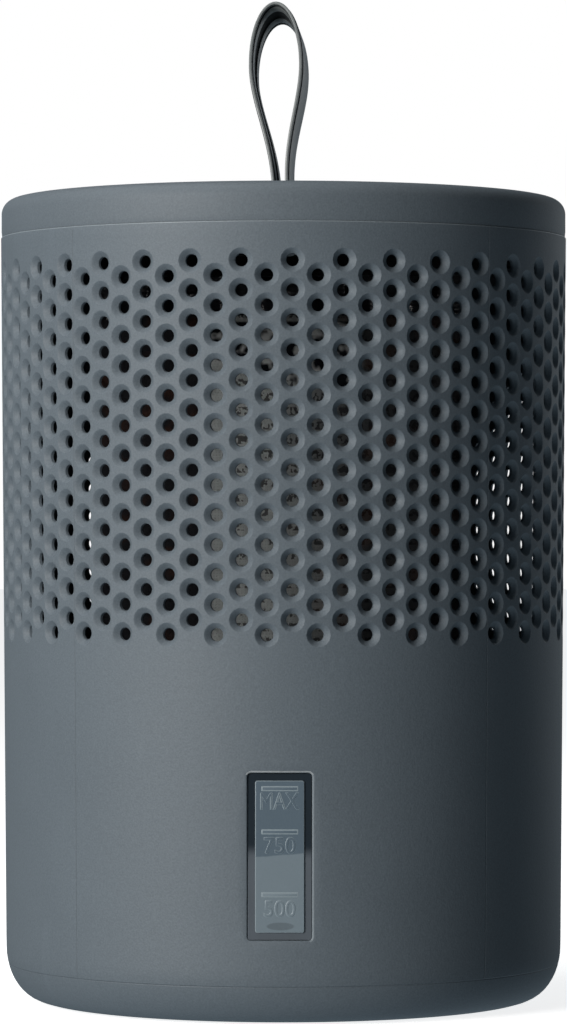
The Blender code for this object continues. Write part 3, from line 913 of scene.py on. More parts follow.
@dataclass
class Pot(Assembly):
    """The one-piece pot: perforated upper wall, plain tank, rounded foot, window opening, ribs and studs."""

    draft: float = 1.5 * MM
    wall: float = 2.0 * MM
    foot_rounding: float = 10.0 * MM
    foot_stretch: float = 1.4
    foot_ring: float = 11.5 * MM
    recess: float = 1.0 * MM
    tank_depth: float = 84.5 * MM
    rim_edge: float = 0.28 * MM
    columns: int = 72
    pitch: float = 7.5 * MM
    rows: int = 13
    first_row_below_rim: float = 9.8 * MM
    hole_sides: int = 14
    hole_rings: tuple[Point2, ...] = ((3.10, 0.0), (2.94, -0.10), (2.52, -0.46), (1.70, -1.28), (1.60, -2.0))
    window_width: float = 16.2 * MM
    window_height: float = 41.9 * MM
    window_centre: float = 42.9 * MM
    window_corner: float = 1.0 * MM
    window_lip: float = 0.5 * MM
    window_front: float = -60.0 * MM
    rings_above_window: Point2 = (84 * MM, 74 * MM)
    ring_margins: Point2 = (2.8 * MM, 2.4 * MM)
    lowest_ring: float = 17.4 * MM
    rib_count: int = 6
    rib_width: float = 2.0 * MM
    rib_depth: float = 4.5 * MM
    seat_proud: float = 1.75 * MM
    seat_side: float = 3.4 * MM
    seat_end: float = 8.5 * MM
    stud_radius: float = 1.0 * MM
    stud_spread: float = 6.5 * MM
    stud_above_window: float = 5.2 * MM

    def __post_init__(self) -> None:
        """Take the pot's place from its CAD node."""
        low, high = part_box("body_pot")
        self.base_z = low.z
        self.rim_z = high.z
        self.foot_radius = high.x - self.draft
        self.foot_top = self.base_z + self.foot_rounding
        self.floor_z = self.base_z + self.recess + self.wall
        self.seat_z = self.floor_z + self.tank_depth

    def radius(self, height: float) -> float:
        """Radius of the drafted outer wall at a height."""
        return self.foot_radius + self.draft * (height - self.foot_top) / (self.rim_z - self.foot_top)

    def hole_cell(self, bm: Mesh, width: float) -> None:
        """Model one hole in its flat cell: a soft lip, a cone and a straight throat to the inner face.

        Args:
            bm: where it is built, holding nothing else.
            width: the cell's width; its height is the pitch.
        """
        turn = Matrix.Rotation(math.pi / self.hole_sides, 4, "Z")
        size = Matrix.Diagonal((width, self.pitch, 1.0, 1.0))
        outlines = []
        for depth in (0.0, -self.wall):
            grid = bmesh.ops.create_grid(
                bm, x_segments=3, y_segments=4, size=0.5, matrix=Matrix.Translation((0, 0, depth)) @ size
            )["verts"]
            inside = [vert for vert in grid if not vert.is_boundary]
            bmesh.ops.delete(bm, geom=inside, context="VERTS")
            outlines.append([edge for edge in bm.edges if abs(edge.verts[0].co.z - depth) < 1e-6])
        edges = circle_outline(bm, self.hole_rings[0][0] * MM, self.hole_sides, turn)
        bmesh.ops.bridge_loops(bm, edges=outlines[0] + edges)
        for before, after in zip(self.hole_rings, self.hole_rings[1:]):
            factor = after[0] / before[0]
            edges = carried(bm, edges, (factor, factor), (after[1] - before[1]) * MM, Matrix())
        bmesh.ops.bridge_loops(bm, edges=outlines[1] + edges)

    def grille(self, bm: Mesh) -> tuple[float, float]:
        """Model the perforated wall, open at its top and bottom.

        Args:
            bm: where it is built.

        Returns:
            Heights of its lower and upper edges.
        """
        width = self.radius(self.rim_z - 0.06) * math.tau / self.columns
        top = self.rim_z - self.first_row_below_rim + self.pitch / 2
        self.hole_cell(bm, width)
        cell = bm.verts[:] + bm.edges[:] + bm.faces[:]
        bmesh.ops.translate(bm, vec=(0, -self.pitch / 2, 0), verts=verts_in(cell))
        for row in range(1, self.rows):
            copy = bmesh.ops.duplicate(bm, geom=cell)["geom"]
            bmesh.ops.translate(bm, vec=(0, -self.pitch * row, 0), verts=verts_in(copy))
        column = bm.verts[:] + bm.edges[:] + bm.faces[:]
        copy = bmesh.ops.duplicate(bm, geom=column)["geom"]
        bmesh.ops.translate(bm, vec=(width, -self.pitch / 2, 0), verts=verts_in(copy))
        depth = self.pitch * self.rows + self.pitch / 2
        for across, down in ((width, self.pitch / 4), (0.0, depth - self.pitch / 4)):
            for level in (0.0, -self.wall):
                place = Matrix.Translation((across, -down, level))
                size = Matrix.Diagonal((width, self.pitch / 2, 1, 1))
                bmesh.ops.create_grid(bm, x_segments=3, y_segments=2, size=0.5, matrix=place @ size)
        facet = math.tau / self.columns
        for vert in bm.verts:
            angle = (vert.co.x / width + 0.5) * facet
            height = top + vert.co.y
            reach = self.radius(height) + vert.co.z
            vert.co = (reach * math.sin(angle), -reach * math.cos(angle), height)
        bmesh.ops.spin(
            bm, geom=bm.verts[:] + bm.edges[:] + bm.faces[:], cent=(0, 0, 0), axis=(0, 0, 1), dvec=(0, 0, 0),
            angle=math.tau - 2 * facet, steps=self.columns // 2 - 1, use_merge=False, use_duplicate=True,
        )
        bmesh.ops.remove_doubles(bm, verts=bm.verts, dist=1e-5)
        return top - depth, top

    def window_ends(self) -> Point2:
        """Heights of the window's lower and upper edges."""
        return self.window_centre - self.window_height / 2, self.window_centre + self.window_height / 2

    def by_window(self, at: Vector, margin: float = 0.0) -> bool:
        """Whether a point of the wall lies in the window's opening, widened by a margin.

        Args:
            at: the point.
            margin: how far the opening is widened.

        Returns:
            Whether it does.
        """
        low, high = self.window_ends()
        level = low - margin < at.z < high + margin
        return level and at.y < self.window_front and abs(at.x) < self.window_width / 2 + margin

    def square_to_window(self, edges: Edges) -> None:
        """Slide the wall's nearest columns onto the window's upright edges.

        Args:
            edges: a level circle of the wall.
        """
        half = self.window_width / 2
        for vert in {vert for edge in edges for vert in edge.verts}:
            if vert.co.y < 0 and abs(abs(vert.co.x) - half) < 0.7 * MM:
                reach = vert.co.xy.length
                vert.co.x = math.copysign(half, vert.co.x)
                vert.co.y = -math.sqrt(reach * reach - half * half)

    def plain_wall(self, bm: Mesh, start: float, inward: float) -> None:
        """Carry one face of the wall from the grille down and round to the middle of the floor.

        Args:
            bm: where it is built.
            start: height of the grille's lower edge.
            inward: distance from the outer face, 0 or the wall.
        """
        edges = ring(bm, start, self.radius(start) - inward)
        low, high = self.window_ends()
        middle = [low + (high - low) * part for part in (0.75, 0.5, 0.25)]
        for height in self.rings_above_window:
            edges = grow(bm, edges, self.radius(height) - inward, height)
        self.square_to_window(edges)
        above, below = high + self.ring_margins[0], low - self.ring_margins[1]
        for height in (above, high, *middle, low, below, self.lowest_ring):
            edges = grow(bm, edges, self.radius(height) - inward, height)
        corner = self.foot_radius - self.foot_rounding
        bend = self.foot_rounding - inward
        if inward:
            centre = (corner, self.floor_z + bend)
            profile = arc(centre, bend, 0, -90, 6)
            profile += [(corner * share, self.floor_z) for share in (0.6, 0.25)]
        else:
            ledge = corner - self.foot_ring
            roof = self.base_z + self.recess
            bent = arc((corner, self.foot_top), bend, 0, -90, 12)
            base = self.base_z
            profile = [(reach, base + (height - base) * self.foot_stretch) for reach, height in bent]
            profile += [(ledge, self.base_z), (ledge - self.recess, roof), (ledge * 0.4, roof)]
        for reach, height in profile:
            edges = grow(bm, edges, reach, height)
        rim = list({vert for edge in edges for vert in edge.verts})
        middle_verts = verts_in(bmesh.ops.extrude_edge_only(bm, edges=edges)["geom"])
        bmesh.ops.pointmerge(bm, verts=middle_verts, merge_co=(0.0, 0.0, rim[0].co.z))

    def rim(self, bm: Mesh, top: float) -> None:
        """Close the wall over its rounded rim, with a painted highlight on its outer top edge.

        Args:
            bm: where it is built.
            top: height of the grille's upper edge.
        """
        edge = self.rim_edge
        outer = self.radius(self.rim_z)
        inner = outer - self.wall
        profile = [(self.radius(top + 3 * MM), top + 3 * MM)]
        profile += arc((outer - edge, self.rim_z - edge), edge, 0, 90, 3)
        profile += arc((inner + edge, self.rim_z - edge), edge, 90, 180, 3)
        edges = ring(bm, top, self.radius(top))
        for reach, height in profile:
            edges = grow(bm, edges, reach, height)
        bmesh.ops.bridge_loops(bm, edges=edges + ring(bm, top, self.radius(top) - self.wall))
        # Painted highlight: the light line under the lid's edge.
        for face in bm.faces:
            at = face.calc_center_median()
            if at.z > self.rim_z - edge and at.xy.length > outer - edge:
                face.material_index = Moulding.BURNISHED

    def window_opening(self, bm: Mesh) -> None:
        """Open the wall for the window, with rounded corners and a soft outer lip with painted highlights.

        Args:
            bm: the pot's closed wall.
        """
        half = self.window_width / 2
        low, high = self.window_ends()
        cut = [face for face in bm.faces if self.by_window(face.calc_center_median())]
        bmesh.ops.delete(bm, geom=cut, context="FACES")
        bmesh.ops.bridge_loops(bm, edges=[edge for edge in bm.edges if edge.is_boundary])
        bmesh.ops.remove_doubles(bm, verts=bm.verts, dist=1e-6)
        bmesh.ops.recalc_face_normals(bm, faces=bm.faces)
        corners = [
            edge
            for edge in bm.edges
            if all(
                v.co.y < self.window_front
                and abs(abs(v.co.x) - half) < 0.1 * MM
                and min(abs(v.co.z - low), abs(v.co.z - high)) < 0.01 * MM
                for v in edge.verts
            )
            and abs(edge.verts[0].co.y - edge.verts[1].co.y) > self.wall / 2
        ]
        soften(bm, corners, self.window_corner, 4)
        lip = [
            edge
            for edge in bm.edges
            if edge.calc_face_angle(0.0) >= STEEP
            and all(
                abs(v.co.xy.length - self.radius(v.co.z)) < 0.08 * MM and self.by_window(v.co, 0.2 * MM)
                for v in edge.verts
            )
        ]
        inset = 0.3 * MM
        # Painted highlights: the lip's top is brightest and its right side is lighter.
        for face in soften(bm, lip, self.window_lip, 3):
            at = face.calc_center_median()
            if at.z > high - inset:
                face.material_index = Moulding.POLISHED
            elif at.x > half - inset:
                face.material_index = Moulding.BURNISHED

    def build_shell(self) -> None:
        """Build the pot's moulding."""
        bm = bmesh.new()
        bottom, top = self.grille(bm)
        self.plain_wall(bm, bottom, 0.0)
        self.plain_wall(bm, bottom, self.wall)
        self.rim(bm, top)
        self.window_opening(bm)
        self.piece("pot_shell", bm, SHELL, Body.POT, ("body_pot",), sharp=27.0, others=(HIGHLIGHT_LIP, SOFT_HIGHLIGHT_LIP))

    def build_inside(self) -> None:
        """Build the ribs that carry the tray, the window's seat and the studs that hold its frame."""
        inner = self.radius(self.seat_z) - self.wall
        bm = bmesh.new()
        for place in around(self.rib_count, 0.0, -math.pi / 2 + math.pi / self.rib_count):
            low = (inner - self.rib_depth, -self.rib_width / 2, self.floor_z + self.foot_rounding)
            high = (inner + self.wall / 4, self.rib_width / 2, self.seat_z)
            block(bm, low, high, 0.35 * MM, place)
        self.piece("tank_ribs", bm, SHELL, Body.POT)

        outside = self.radius(self.window_centre)
        in_wall = outside - self.wall * 0.7
        seat = outside - self.wall - self.seat_proud
        size = (self.window_width / 2 + self.seat_side, self.window_height / 2 + self.seat_end)
        hole = (self.window_width / 2, self.window_height / 2)
        bm = bmesh.new()
        place = facing_front(in_wall, self.window_centre)
        outer = rounded_outline(bm, *size, 0.6 * MM, 3, place)
        inner_edges = rounded_outline(bm, *hole, self.window_corner, 3, place)
        faces = bmesh.ops.bridge_loops(bm, edges=outer + inner_edges)["faces"]
        grown = bmesh.ops.extrude_face_region(bm, geom=faces, use_keep_orig=True)["geom"]
        bmesh.ops.translate(bm, vec=(0, in_wall - seat, 0), verts=verts_in(grown))
        self.piece("window_seat", bm, SHELL, Body.POT, bevel=0.2 * MM)

        gap, gasket, flange, frame_depth = 0.3 * MM, 1.0 * MM, 1.5 * MM, 1.8 * MM
        retainer = seat - gap - gasket - gap - flange - gap
        heads = retainer - frame_depth - gap
        start = seat + self.seat_proud / 2
        shoulder = self.stud_radius + 0.6 * MM
        head = self.stud_radius + 0.9 * MM
        profile = [
            (0.0, 0.0), (shoulder, 0.0), (shoulder, start - retainer - gap),
            (self.stud_radius, start - retainer - gap), (self.stud_radius, start - heads),
            (head, start - heads), (head - 0.25 * MM, start - heads + 0.6 * MM),
            (head * 0.6, start - heads + 0.95 * MM), (0.0, start - heads + 1.0 * MM),
        ]
        bm = bmesh.new()
        for side in (-1, 1):
            for end in (-1, 1):
                rise = end * (self.window_height / 2 + self.stud_above_window)
                place = Matrix.Translation((side * self.stud_spread, 0, rise))
                spun(bm, profile, 24, place @ facing_front(start, self.window_centre))
        self.piece("retainer_studs", bm, SHELL, Body.POT)

    def build_feet(self) -> None:
        """Build the four rubber pads under the pot, each with a rounded tread and a shallow centre dimple."""
        for index, place in enumerate(around(4, 42 * MM, math.pi / 4), 1):
            low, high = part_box(f"foot_pad_{index}")
            radius = (high.x - low.x) / 2
            tread = low.z
            profile = [
                (0.0, high.z), (radius, high.z),
                (radius, tread + 0.3 * MM), (radius - 0.1 * MM, tread + 0.1 * MM), (radius - 0.35 * MM, tread),
                (radius * 0.5, tread), (radius * 0.42, tread + 0.2 * MM), (0.0, tread + 0.2 * MM),
            ]
            bm = bmesh.new()
            spun(bm, profile, 48, Matrix.Translation(place.translation))
            self.piece(f"foot_pad_round_{index}", bm, RUBBER, Body.POT, (f"foot_pad_{index}",))


# ---------------------------------------------------------------- the level window


class Mark(Enum):
    """The scale's marks, from its top: text, bar height, text height and text width in millimetres."""

    FULL_TANK = ("MAX", 59.9, 56.8, 9.8)
    UPPER = ("750", 49.1, 45.7, 8.0)
    LOWER = ("500", 33.4, 29.9, 8.0)


@dataclass
class LevelWindow(Assembly):
    """The smoked pane in the pot's wall, its frosted face and raised scale, and the gasket and frame behind."""

    pad_margin: float = 1.88 * MM
    pad_proud: float = 0.4 * MM
    flange: float = 1.5 * MM
    corner: float = 0.7 * MM
    bar_width: float = 9.2 * MM
    bar_height: float = 1.25 * MM
    letter_height: float = 4.3 * MM
    raised: float = 0.09 * MM
    outline: float = 0.30 * MM
    flange_reach: float = 1.97 * MM
    letters: ClassVar[dict[str, Any]] = {
        "align_x": "CENTER", "align_y": "CENTER", "size": 1.0, "extrude": 0.01, "offset": -0.024,
        "bevel_depth": 0.045, "bevel_resolution": 1, "resolution_u": 6,
    }
    sunk: float = 0.02 * MM

    def build_pane(self) -> None:
        """Build the pane: flange, plug and the frosted pad on its face."""
        low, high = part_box("window_pane")
        centre = (low.z + high.z) / 2
        front = -low.y
        half_flange = ((high.x - low.x) / 2, (high.z - low.z) / 2)
        plug = (half_flange[0] - self.flange_reach, half_flange[1] - self.flange_reach)
        pad = (plug[0] - self.pad_margin, plug[1] - self.pad_margin)
        face = front - self.pad_proud
        depth = high.y + face
        bm = bmesh.new()
        place = facing_front(face, centre)
        outline = rounded_outline(bm, *plug, self.corner, 4, place)
        levels = ((*plug, 0.0), (*plug, depth - self.flange), (*half_flange, depth - self.flange))
        stepped(bm, outline, (*levels, (*half_flange, depth)), place)
        self.piece("window_pane_body", bm, PANE, Body.POT, ("window_pane",), bevel=0.18 * MM)

        bm = bmesh.new()
        place = facing_front(front - self.sunk, centre)
        outline = rounded_outline(bm, *pad, 0.5 * MM, 3, place)
        stepped(bm, outline, ((*pad, 0.0), (*pad, self.pad_proud + 0.3 * MM)), place)
        # The pad's bevel takes the painted edge highlight.
        self.piece("window_pane_frost", bm, FROST, Body.POT, bevel=0.16 * MM, others=(MARK_EDGE_HIGHLIGHT,))
        self.front = front - self.sunk

    def lettering(self, text: str, height: float, width: float) -> Mesh:
        """Raise a word on the pane.

        Args:
            text: the word.
            height: middle of the word above the floor.
            width: how wide it is made.

        Returns:
            Its mesh in place.
        """
        curve = bpy.data.curves.new("scale_text", "FONT")
        curve.body = text
        for name, value in self.letters.items():
            setattr(curve, name, value)
        holder = in_scene("scale_text", curve)
        bpy.context.view_layer.update()
        mesh = bpy.data.meshes.new_from_object(holder.evaluated_get(bpy.context.evaluated_depsgraph_get()))
        bm = bmesh.new()
        bm.from_mesh(mesh)
        bpy.data.objects.remove(holder)
        bpy.data.curves.remove(curve)
        bpy.data.meshes.remove(mesh)
        thick = self.letters["extrude"] + self.letters["bevel_depth"]
        xs = [vert.co.x for vert in bm.verts]
        ys = [vert.co.y for vert in bm.verts]
        middle = ((max(xs) + min(xs)) / 2, (max(ys) + min(ys)) / 2, 0.0)
        size = (width / (max(xs) - min(xs)), self.letter_height / (max(ys) - min(ys)), self.raised / thick)
        bmesh.ops.translate(bm, vec=(-middle[0], -middle[1], 0.0), verts=bm.verts)
        bmesh.ops.scale(bm, vec=size, verts=bm.verts)
        place = Matrix.Translation((0, -self.front + self.sunk, height))
        bmesh.ops.transform(bm, matrix=place @ Matrix.Rotation(math.pi / 2, 4, "X"), verts=bm.verts)
        return bm

    def build_scale(self) -> None:
        """Build the scale's bars and words, raised from the frosted face, with painted highlights on their
        edges.
        """
        for mark in Mark:
            text, bar_top, middle, width = mark.value
            bm = self.lettering(text, middle * MM, width * MM)
            place = facing_front(self.front - self.raised, bar_top * MM)
            size = (self.bar_width / 2, self.bar_height / 2)
            outline = rounded_outline(bm, *size, 0.12 * MM, 2, place)
            face = (size[0] - self.outline, size[1] - self.outline, -2 * self.raised)
            stepped(bm, outline, ((*size, 0.0), (*size, -self.raised), face), place)
            made = self.piece(f"scale_mark_{text.lower()}", bm, FROST, Body.POT, others=(MARK_EDGE_HIGHLIGHT,))
            # Flat fronts keep the frosted finish; every other face gets the painted edge highlight.
            for polygon in made.data.polygons:
                polygon.material_index = 0 if polygon.normal.y < -0.99 else 1

    def dress_hidden(self) -> None:
        """Dress the gasket and the frame behind the pane."""
        dress_node("window_gasket", RUBBER)
        dress_node("window_retainer", LINER)


# ---------------------------------------------------------------- tray and pouch


@dataclass
class DripTray(Assembly):
    """The loose tray over the water: a drained floor, a low rim and two finger tabs."""

    wall: float = 1.6 * MM
    floor: float = 2.0 * MM
    rim: float = 6.0 * MM
    tab_width: float = 14.0 * MM
    tab_rise: float = 10.0 * MM
    drain: float = 4.0 * MM
    rings: tuple[tuple[int, float], ...] = ((6, 22 * MM), (12, 46 * MM))
    steps: int = 120

    def build(self) -> None:
        """Build the tray."""
        low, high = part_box("drip_tray")
        radius = high.x
        base = low.z
        inner = radius - self.wall
        edge = 0.4 * MM
        bm = bmesh.new()
        profile = [
            (inner - 1.0 * MM, base + self.floor), (inner - 0.3 * MM, base + self.floor + 0.3 * MM),
            (inner, base + self.floor + 1.0 * MM),
            *arc((inner + edge, base + self.rim - edge), edge, 180, 90, 3),
            *arc((radius - edge, base + self.rim - edge), edge, 90, 0, 3),
            (radius, base + 0.8 * MM), (radius - 0.2 * MM, base + 0.2 * MM), (radius - 0.8 * MM, base),
        ]
        spun(bm, profile, self.steps)
        scale = radius / (73.0 * MM)
        drains = [place for count, reach in self.rings for place in around(count, reach * scale)]
        for height, reach in ((base + self.floor, inner - 1.0 * MM), (base, radius - 0.8 * MM)):
            edges = ring(bm, height, reach)
            for place in drains:
                edges += circle_outline(bm, self.drain, 20, Matrix.Translation((0, 0, height)) @ place)
            bmesh.ops.triangle_fill(bm, edges=edges, use_beauty=True, use_dissolve=False)
        for place in drains:
            near = [
                edge
                for edge in bm.edges
                if edge.is_boundary
                and all((v.co.xy - place.translation.xy).length < self.drain * 1.02 for v in edge.verts)
            ]
            bmesh.ops.bridge_loops(bm, edges=near)
        self.piece("drip_tray_dish", bm, LINER, Body.TRAY, ("drip_tray",), sharp=35.0)

        bm = bmesh.new()
        half = self.tab_width / 2
        outer = math.sqrt((radius - self.wall / 2) ** 2 - half * half)
        for place in around(2, 0.0):
            low_corner = (outer - self.wall, -half, base + self.floor / 2)
            high_corner = (outer, half, base + self.rim + self.tab_rise)
            block(bm, low_corner, high_corner, 0.5 * MM, place)
            for rung in range(3):
                height = base + self.rim + (4.0 + 2.0 * rung) * MM
                low_corner = (outer - self.wall - 0.35 * MM, -half + 2 * MM, height)
                high_corner = (outer - 0.4 * MM, half - 2 * MM, height + 0.8 * MM)
                block(bm, low_corner, high_corner, 0.15 * MM, place)
        self.piece("tray_tabs", bm, LINER, Body.TRAY)


@dataclass
class Pouch(Assembly):
    """The desiccant pouch: a slack nonwoven pillow with a crumpled heat-sealed top edge."""

    seal: float = 7.0 * MM
    shrink: float = 1.6 * MM
    cap: float = 6.0 * MM
    voxel: float = 3.4 * MM
    film_rise: float = 5.0 * MM
    film_root: float = 2.0 * MM
    cloth: ClassVar[dict[str, Any]] = {
        "use_pressure": True, "uniform_pressure_force": 2.5, "mass": 0.12, "tension_stiffness": 25,
        "compression_stiffness": 12, "bending_stiffness": 0.05, "shrink_min": -0.06,
    }

    def pillow(self, low: Vector, high: Vector) -> Mesh:
        """The unsimulated pillow: a subdivided box drawn in to a seam at its top.

        Args:
            low: lowest corner.
            high: highest corner.

        Returns:
            Its mesh.
        """
        bm = bmesh.new()
        middle = (low + high) / 2
        size = high - low
        bmesh.ops.create_cube(bm, size=1.0, matrix=Matrix.Translation(middle) @ Matrix.Diagonal((*size, 1.0)))
        bmesh.ops.subdivide_edges(bm, edges=bm.edges, cuts=15, use_grid_fill=True)
        for vert in bm.verts:
            part = (vert.co.z - low.z) / size.z
            pinch = 1.0 - 0.86 * max(0.0, (part - 0.62) / 0.38) ** 1.6
            side = abs(vert.co.x - middle.x) / (size.x / 2)
            across = (vert.co.y - middle.y) * pinch * (1.0 - 0.72 * side**3)
            draw = 1.0 - 0.05 * (1.0 - min(1.0, part * 4.0))
            vert.co.x = middle.x + (vert.co.x - middle.x) * draw
            vert.co.y = middle.y + across * draw
        return bm

    def inflate(self, made: bpy.types.Object, low: Vector, high: Vector) -> None:
        """Fill the pillow by cloth simulation, capped so that it stays in its own space.

        Args:
            made: the pillow.
            low: its space's lowest corner.
            high: its space's highest corner.
        """
        scene = bpy.context.scene
        start = [vert.co.copy() for vert in made.data.vertices]
        cloth = made.modifiers.new("Cloth", "CLOTH")
        for name, value in self.cloth.items():
            setattr(cloth.settings, name, value)
        cloth.settings.effector_weights.gravity = 0.0
        cloth.collision_settings.use_self_collision = False
        for step in range(1, 21):
            scene.frame_set(step)
        moved = made.evaluated_get(bpy.context.evaluated_depsgraph_get()).data
        places = [vert.co.copy() for vert in moved.vertices]
        made.modifiers.remove(cloth)
        for vert, before, after in zip(made.data.vertices, start, places):
            move = after - before
            if move.length > self.cap:
                move *= self.cap / move.length
            droplet_shadow_mask = before + move
            vert.co = [min(max(droplet_shadow_mask[i], low[i]), high[i]) for i in range(3)]
        scene.frame_set(1)

    def build(self) -> None:
        """Build the pouch and its sealed edge."""
        low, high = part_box("desiccant_pouch")
        top = high.z - self.seal
        inset = Vector((self.shrink, self.shrink, 0.4 * MM))
        bm = self.pillow(low + inset, Vector((high.x - self.shrink, high.y - self.shrink, top)))
        made = self.piece("desiccant_pouch_pillow", bm, FABRIC, Body.POUCH, ("desiccant_pouch",), sharp=180.0)
        remesh = made.modifiers.new("Remesh", "REMESH")
        remesh.mode = "VOXEL"
        remesh.voxel_size = self.voxel
        bpy.context.view_layer.update()
        evaluated = made.evaluated_get(bpy.context.evaluated_depsgraph_get())
        shaped = bpy.data.meshes.new_from_object(evaluated)
        made.modifiers.remove(remesh)
        made.data = shaped
        self.inflate(made, low, Vector((high.x, high.y, top + 1.5 * MM)))
        for vert in made.data.vertices:
            ripple = noise.noise(vert.co * 95.0) * 0.9 + noise.noise(vert.co * 240.0) * 0.35
            side = Vector((vert.co.x - (low.x + high.x) / 2, vert.co.y, 0.0)).normalized()
            vert.co -= side * abs(ripple) * 1.3 * MM
        made.data.shade_smooth()
        made.data.update()
        soft = made.modifiers.new("Subdivision", "SUBSURF")
        soft.levels = 1
        soft.render_levels = 1

        bm = bmesh.new()
        width = high.x - low.x - 2 * MM
        middle = top + (self.seal + self.film_rise - self.film_root) / 2
        tall = self.seal + self.film_rise + self.film_root
        place = Matrix.Translation(((low.x + high.x) / 2, 0, middle))
        size = Matrix.Rotation(math.pi / 2, 4, "X") @ Matrix.Diagonal((width, tall, 1, 1))
        bmesh.ops.create_grid(bm, x_segments=96, y_segments=10, size=0.5, matrix=place @ size)
        for vert in bm.verts:
            rise = (vert.co.z - top) / self.seal
            fold = math.sin(vert.co.x * 620.0 + rise) * 0.8 + math.sin(vert.co.x * 1430.0) * 0.45
            wander = noise.noise(vert.co * 160.0) * 1.6
            vert.co.y += (fold + wander) * MM * (0.4 + max(0.0, rise) * 0.9)
            vert.co.z -= abs(noise.noise(Vector((vert.co.x * 130.0, 3.0, 0.0)))) * 0.5 * MM * max(0.0, rise)
        bmesh.ops.solidify(bm, geom=bm.faces[:], thickness=0.35 * MM)
        self.piece("desiccant_pouch_seal", bm, FILM, Body.POUCH, sharp=60.0)


# ---------------------------------------------------------------- lid and strap


